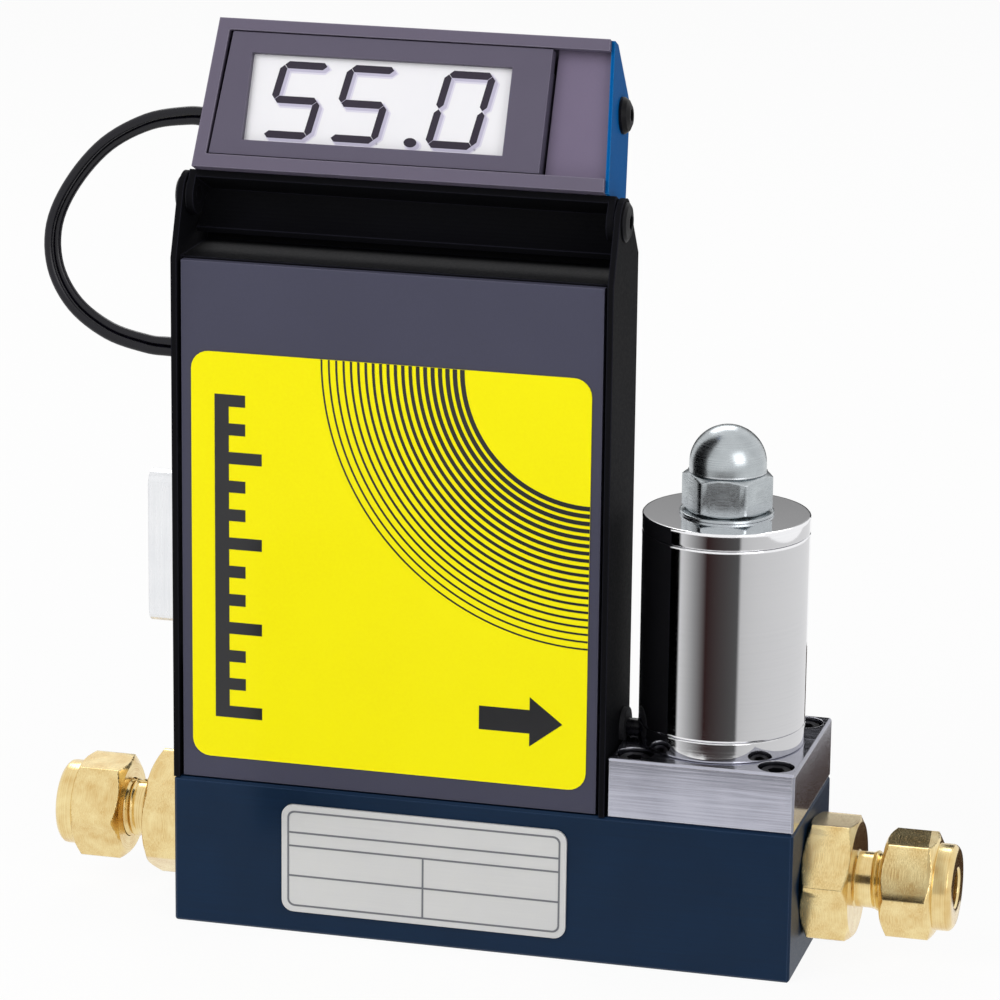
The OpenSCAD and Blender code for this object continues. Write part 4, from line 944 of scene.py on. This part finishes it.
def rounded(
    points: Sequence[Sequence[float]], radius: float, steps: int = 3, hold: float = 0.05
) -> np.ndarray:
    """Round the corners of a closed profile.

    Each corner gives way to a curve between a point on either side of it, at
    most the radius or two fifths of the shorter edge away. A point on that
    curve is the corner blended with both by squared shares.

    Args:
        points: the profile's corners.
        radius: how far from a corner its rounding begins.
        steps: points on each rounding, less one.
        hold: how far past each rounding a point keeps the next stretch flat.

    Returns:
        The rounded profile.
    """
    p = np.array(points, float)
    before, after = np.roll(p, 1, axis=0), np.roll(p, -1, axis=0)
    d0, d1 = before - p, after - p
    l0 = np.linalg.norm(d0, axis=1)[:, None]
    l1 = np.linalg.norm(d1, axis=1)[:, None]
    cut = np.minimum(radius, ROUNDING_SHARE * np.minimum(l0, l1))
    a, b = p + d0 / l0 * cut, p + d1 / l1 * cut
    t = np.linspace(0, 1, steps + 1)[None, :, None]
    made = a[:, None] * (1 - t) ** 2 + 2 * p[:, None] * t * (1 - t) + b[:, None] * t**2
    held_before, held_after = (a + d0 / l0 * hold)[:, None], (b + d1 / l1 * hold)[:, None]
    return np.concatenate([held_before, made, held_after], axis=1).reshape(-1, 2)


def hexagon_profile(
    flats: float, ends: Sequence[float], end_radii: Sequence[float], low_points: int = 7
) -> np.ndarray:
    """Give the profile of a hexagon whose corners are turned off in cones.

    Args:
        flats: width across the flats.
        ends: where the hexagon starts and ends along the axis.
        end_radii: radius at which each cone meets its end.
        low_points: points on the cone at the start.

    Returns:
        Rows of a place along the axis and a radius.
    """
    corner = flats / math.sqrt(3) * CORNER_SHARE
    cone = math.tan(math.radians(CONE_DEG))
    low = np.linspace(end_radii[0], corner, low_points)
    high = np.linspace(corner, end_radii[1], 7)
    return np.vstack([
        np.stack([ends[0] + (low - end_radii[0]) * cone, low], axis=-1),
        np.stack([ends[1] - (high - end_radii[1]) * cone, high], axis=-1),
    ])


def marked(total: int, first: int, count: int) -> np.ndarray:
    """Give an array that is true for count of the total entries, from first on."""
    return (np.arange(total) >= first) & (np.arange(total) < first + count)


@dataclass
class TubeFitting:
    """Brass compression fitting: a body screwed into the block and its nut.

    Places along the axis are counted outwards from the block's end face.
    """

    side: int
    body_turn: float
    nut_turn: float
    socket_r: float = 3.225
    socket_z: float = 3.0
    way_r: float = 2.4
    stub_z: float = -9.5
    stub_r: float = 6.5
    stub_bevel: float = 0.5
    shoulder_back: float = 0.02
    shoulder_rise: float = 0.1
    body_flats: float = 19.05
    body_hex: tuple[float, float] = (0.0, 8.0)
    body_hex_r: tuple[float, float] = (9.3, 9.35)
    neck_r: float = 4.6
    thread_z: float = 10.0
    thread_pitch: float = 1.27
    thread_root: float = 4.62
    thread_crest: float = 4.98
    thread_shape: float = 1.3
    thread_turns: int = 5
    turn_steps: int = 6
    body_end: float = 17.0
    cone_z: float = 15.4
    cone_r: float = 4.38
    nut_flats: float = 15.875
    nut_hex: tuple[float, float] = (12.8, 21.4)
    nut_hex_r: tuple[float, float] = (7.5, 7.6)
    collar_r: float = 7.15
    nut_thread_r: float = 5.05
    ferrule_r: float = 4.52
    ferrule_z: float = 20.0
    nut_face_r: float = 6.9
    nose: tuple[tuple[float, float], ...] = (
        (23.4, 7.15), (23.8, 7.08), (24.15, 6.8), (24.4, 6.45), (24.5, 6.2),
    )
    mouth: tuple[tuple[float, float], ...] = ((24.5, 3.75), (24.4, 3.45))
    mouth_z: float = 24.1

    @property
    def place(self) -> str:
        """Word for the end of the block that the fitting is on."""
        return "inlet" if self.side < 0 else "outlet"

    def thread(self) -> np.ndarray:
        """Give the profile of the body's thread.

        The radius falls from the crest to the root and back once a pitch, by
        a power of the distance from the root's middle.

        Returns:
            Rows of a place along the axis and a radius.
        """
        step = np.arange(self.thread_turns * self.turn_steps)
        z = self.thread_z + step * self.thread_pitch / self.turn_steps
        wave = np.abs(((step / self.turn_steps) % 1.0) - 0.5) * 2
        depth = self.thread_crest - self.thread_root
        return np.stack([z, self.thread_crest - depth * wave**self.thread_shape], axis=-1)

    def body(self) -> Turned:
        """Give the fitting body: stub, hexagon, neck and a real helix.

        Returns:
            The body, ready to be placed at its port.
        """
        stub_r, bevel, neck_r = self.stub_r, self.stub_bevel, self.neck_r
        hex_end, end = self.body_hex[1], self.body_end
        stub = [[self.stub_z, self.way_r], [self.stub_z, stub_r - bevel],
                [self.stub_z + bevel, stub_r], [-self.shoulder_back, stub_r],
                [0.0, stub_r + self.shoulder_rise]]
        hexagon = hexagon_profile(self.body_flats, self.body_hex, self.body_hex_r)
        neck = [[hex_end, neck_r + 0.3], [hex_end + 0.25, neck_r], [self.thread_z - 0.4, neck_r]]
        thread = self.thread()
        inside = [[end - 0.1, neck_r + 0.15], [end, neck_r], [end, self.cone_r],
                  [self.cone_z, self.socket_r], [self.socket_z, self.socket_r],
                  [self.socket_z, self.way_r]]
        profile = np.vstack([stub, hexagon, neck, thread, inside])
        first = len(stub) + len(hexagon) + len(neck)
        return Turned(
            f"{self.place}_fitting_body_turned",
            profile,
            marked(len(profile), len(stub), len(hexagon)),
            self.body_flats,
            self.body_turn,
            pitch=self.thread_pitch,
            threaded=marked(len(profile), first, len(thread)).astype(float),
        )

    def nut(self) -> Turned:
        """Give the fitting nut: hexagon, round collar and the tube's mouth.

        Returns:
            The nut, ready to be placed at its port.
        """
        start, hex_end = self.nut_hex
        face = [[start, self.nut_thread_r], [start, self.nut_face_r]]
        hexagon = hexagon_profile(self.nut_flats, self.nut_hex, self.nut_hex_r)
        collar = [[hex_end, self.collar_r + 0.2], [hex_end + 0.1, self.collar_r]]
        inside = [[self.mouth_z, self.socket_r], [self.ferrule_z, self.socket_r],
                  [self.ferrule_z, self.ferrule_r], [self.body_end, self.ferrule_r],
                  [self.body_end, self.nut_thread_r]]
        profile = np.vstack([face, hexagon, collar, self.nose, self.mouth, inside])
        hexed = marked(len(profile), len(face), len(hexagon))
        return Turned(f"{self.place}_nut_turned", profile, hexed, self.nut_flats, self.nut_turn)

    def build(self, finishes: Finishes) -> list[Object]:
        """Build the body and the nut, each in place of its solid.

        Args:
            finishes: store of finishes.

        Returns:
            The body and the nut.
        """
        brass = finishes.get("turned_brass")
        return [
            fitted(recipe.at_port(self.side), brass, "brass", "base", f"{self.place}_{solid}")
            for recipe, solid in ((self.body(), "fitting_body"), (self.nut(), "nut"))
        ]


@dataclass
class Solenoid:
    """Chromed solenoid can between two end discs, under a domed cap nut."""

    radius: float = 13.75
    wall: float = 1.6
    base_z: float = 35.6
    shell_z0: float = 39.0
    shell_z1: float = 71.2
    top_z: float = 74.1
    washer_t: float = 0.5
    washer_r: float = 7.7
    core_r: float = 4.7
    nut_flats: float = 13.0
    nut_hex_h: float = 6.6
    dome_r: float = 6.3
    dome_points: int = 20
    nut_turn: float = 6.0
    nut_seat_cut: float = 0.25
    nut_top_cut: float = 0.55
    nut_neck_h: float = 1.2
    nut_neck_bevel: float = 0.15
    bore_h: float = 8.6
    bore_tip_h: float = 9.0
    bore_bevel: float = 0.6
    can_edge: float = 0.35
    top_edge: float = 0.45
    washer_edge: float = 0.15
    around: int = 160

    def ring(self, name: str, ends: Sequence[float], radii: Sequence[float], edge: float) -> Turned:
        """Give a ring with four rounded corners.

        Args:
            name: name of the piece.
            ends: its lower and upper height.
            radii: its inner and outer radius.
            edge: how far from a corner the rounding begins.

        Returns:
            The ring, ready to be placed on the valve.
        """
        (z0, z1), (inner, outer) = ends, radii
        profile = rounded([[z0, inner], [z0, outer], [z1, outer], [z1, inner]], edge)
        return Turned(name, profile, np.zeros(len(profile), bool), around=self.around)

    def cap_nut(self) -> Turned:
        """Give the cap nut: blind bore, hexagon, neck and dome.

        Returns:
            The nut, ready to be placed on the valve.
        """
        z0 = self.top_z + self.washer_t
        z1 = z0 + self.nut_hex_h
        cuts = (self.nut_flats / 2 - self.nut_seat_cut, self.nut_flats / 2 - self.nut_top_cut)
        hexagon = hexagon_profile(self.nut_flats, (z0, z1), cuts, low_points=6)
        polar = np.radians(np.linspace(0, 90, self.dome_points))
        up = z1 + self.nut_neck_h + self.dome_r * np.sin(polar)
        dome = np.stack([up, self.dome_r * np.cos(polar)], axis=-1)
        dome[-1, 1] = 0.0
        bore = [[z0 + self.bore_tip_h, 0.0], [z0 + self.bore_h, self.core_r],
                [z0 + self.bore_bevel, self.core_r], [z0, self.core_r + self.bore_bevel]]
        neck = [[z1, self.dome_r + self.nut_neck_bevel], [z1 + self.nut_neck_bevel, self.dome_r]]
        profile = np.vstack([bore, hexagon, neck, dome])
        hexed = marked(len(profile), len(bore), len(hexagon))
        return Turned("cap_nut_turned", profile, hexed, self.nut_flats, self.nut_turn)

    def build(self, finishes: Finishes) -> list[Object]:
        """Build the can, its discs, the washer and the cap nut.

        Args:
            finishes: store of finishes.

        Returns:
            The five pieces.
        """
        on_core = (self.core_r, self.radius)
        chrome, zinc = ("bright_chrome_plate", "polished_steel"), ("satin_zinc_plate", "zinc")
        recipes = (
            (self.ring("solenoid_can_drawn", (self.shell_z0, self.shell_z1),
                       (self.radius - self.wall, self.radius), self.can_edge),
             "solenoid_shell", chrome, True),
            (self.ring("solenoid_lower_disc_turned", (self.base_z, self.shell_z0), on_core,
                       self.can_edge),
             "solenoid_lower_disc", chrome, True),
            (self.ring("solenoid_upper_disc_turned", (self.shell_z1, self.top_z), on_core,
                       self.top_edge),
             "solenoid_upper_disc", chrome, True),
            (self.ring("cap_nut_washer_turned", (self.top_z, self.top_z + self.washer_t),
                       (self.core_r, self.washer_r), self.washer_edge),
             "nut_washer", zinc, True),
            (self.cap_nut(), "acorn_nut", zinc, False),
        )
        return [
            fitted(recipe.on_valve(closed), finishes.get(finish), slot, "base", solid)
            for recipe, solid, (finish, slot), closed in recipes
        ]


# --------------------------------------------------------------- display


@dataclass
class Display:
    """Soft shadows that the display's strokes throw on the reflector.

    A point of the face's own frame (across, back, up) is turned back by the
    lean about the case's lower front edge to give its place on the part.
    """

    house_x: float = -15.65
    case_y: float = -11.775
    case_z: float = 128.1
    lean_deg: float = 24.0
    glass_back: float = 1.5
    window_x: float = -5.0
    window_z: float = 12.15
    window_w: float = 43.4
    window_h: float = 14.5
    digit_h: float = 12.8
    digit_w: float = 8.4
    stroke: float = 1.2
    slant_deg: float = 10.5
    end_gap: float = 0.06
    dot_x: float = 27.7
    dot_r: float = 0.85
    dot_stretch: tuple[float, float] = (1.25, 0.9)
    dot_points: int = 24
    shown: tuple[tuple[str, float], ...] = (("afgcd", 3.2), ("afgcd", 14.4), ("abcdef", 30.7))

    def to_part(self, points: np.ndarray) -> np.ndarray:
        """Turn points of the face's frame into the part's frame.

        Args:
            points: array whose last axis is across, back and up.

        Returns:
            The same points as x, y and z.
        """
        lean = math.radians(self.lean_deg)
        across, back, up = points[..., 0], points[..., 1], points[..., 2]
        return np.stack([
            self.house_x + across,
            self.case_y + back * math.cos(lean) + up * math.sin(lean),
            self.case_z - back * math.sin(lean) + up * math.cos(lean),
        ], axis=-1)

    def strokes(self, grow: float) -> list[np.ndarray]:
        """Give each stroke as six corners, grown outwards by a margin.

        A stroke runs between two corners of the digit's box. Its ends are
        points, and its sides lie half a stroke's width away.

        Args:
            grow: margin added round each stroke.

        Returns:
            One outline of across and up for each stroke, the dot last.
        """
        w, h = self.digit_w - self.stroke, self.digit_h - self.stroke
        ends = {
            "a": ((0, h), (w, h)), "b": ((w, h), (w, h / 2)), "c": ((w, h / 2), (w, 0)),
            "d": ((0, 0), (w, 0)), "e": ((0, h / 2), (0, 0)), "f": ((0, h), (0, h / 2)),
            "g": ((0, h / 2), (w, h / 2)),
        }
        base = self.window_z - self.window_h / 2 + (self.window_h - self.digit_h + self.stroke) / 2
        left = self.window_x - self.window_w / 2
        half = self.stroke / 2 + grow
        made = []
        for letters, start in self.shown:
            for letter in letters:
                a, b = (np.array(end, float) for end in ends[letter])
                d = (b - a) / np.linalg.norm(b - a)
                n = np.array([-d[1], d[0]])
                a, b = a + d * (self.end_gap - grow), b - d * (self.end_gap - grow)
                outline = np.array([a, a + (d + n) * half, b + (n - d) * half,
                                    b, b - (d + n) * half, a + (d - n) * half])
                outline[:, 0] += outline[:, 1] * math.tan(math.radians(self.slant_deg))
                made.append(outline + np.array([left + start, base]))
        way = np.linspace(0, 2 * math.pi, self.dot_points, endpoint=False)
        wide, tall = self.dot_stretch
        dot = np.stack([wide * np.cos(way), tall * np.sin(way)], axis=-1) * (self.dot_r + grow)
        made.append(dot + np.array([left + self.dot_x, base]))
        return made

    def layer(self, name: str, grow: float, shift: tuple[float, float], height: float) -> Object:
        """Build one flat layer of strokes at a height over the glass.

        Args:
            name: name of the piece.
            grow: margin added round each stroke.
            shift: how far the layer lies across and up from the strokes.
            height: how far it stands off the glass.

        Returns:
            The layer.
        """
        corners, faces, count = [], [], 0
        for outline in self.strokes(grow):
            moved = outline + np.array(shift)
            back = np.full(len(moved), self.glass_back - height)
            corners.append(self.to_part(np.stack([moved[:, 0], back, moved[:, 1]], axis=-1)))
            faces.append(list(range(count, count + len(moved)))[::-1])
            count += len(moved)
        mesh = bpy.data.meshes.new(name)
        mesh.from_pydata((np.vstack(corners) * MM).tolist(), [], faces)
        made = bpy.data.objects.new(name, mesh)
        bpy.context.scene.collection.objects.link(made)
        return made

    def build(self, finishes: Finishes) -> list[Object]:
        """Build the pale and the inner shadow and let them tilt along.

        Args:
            finishes: store of finishes.

        Returns:
            The two layers, the outer one first.
        """
        # Both layers are painted shadows of the strokes: pale round the edge, darker inside.
        layers = (
            ("stroke_shadow_outer", 0.28, (0.55, -0.5), 0.012, "stroke_shadow_pale"),
            ("stroke_shadow_inner", 0.02, (0.5, -0.45), 0.024, "stroke_shadow"),
        )
        return [
            fitted(self.layer(name, grow, shift, height), finishes.get(finish), "lcd_ink", "readout")
            for name, grow, shift, height, finish in layers
        ]


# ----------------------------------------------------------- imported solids


class PackedSolids:
    """Solids that keep their own shape and only take a finish."""

    def build(self, finishes: Finishes) -> list[Object]:
        """Dress each of them.

        Args:
            finishes: store of finishes.

        Returns:
            The solids, in the order of their finishes.
        """
        return [
            dress(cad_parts[solid], finishes.get(finish))
            for finish, solids in CAD_FINISHES.items()
            for solid in solids
        ]


# ------------------------------------------------------------------- main


def main() -> None:
    """Build the studio and the pieces in order."""
    logging.basicConfig(level=logging.INFO, format="%(name)s: %(message)s")
    studio = Studio()
    studio.make_camera()
    finishes = Finishes()
    pieces = [ReadoutLead().build(finishes)]
    studio.build()
    pieces += PackedSolids().build(finishes)
    pieces += TubeFitting(side=-1, body_turn=3.0, nut_turn=28.5).build(finishes)
    pieces += TubeFitting(side=1, body_turn=24.0, nut_turn=31.0).build(finishes)
    pieces += Solenoid().build(finishes)
    pieces += Display().build(finishes)
    for piece in pieces:
        LOG.info("%s: %d faces", piece.name, len(piece.data.polygons))


if __name__ == "__main__":
    main()
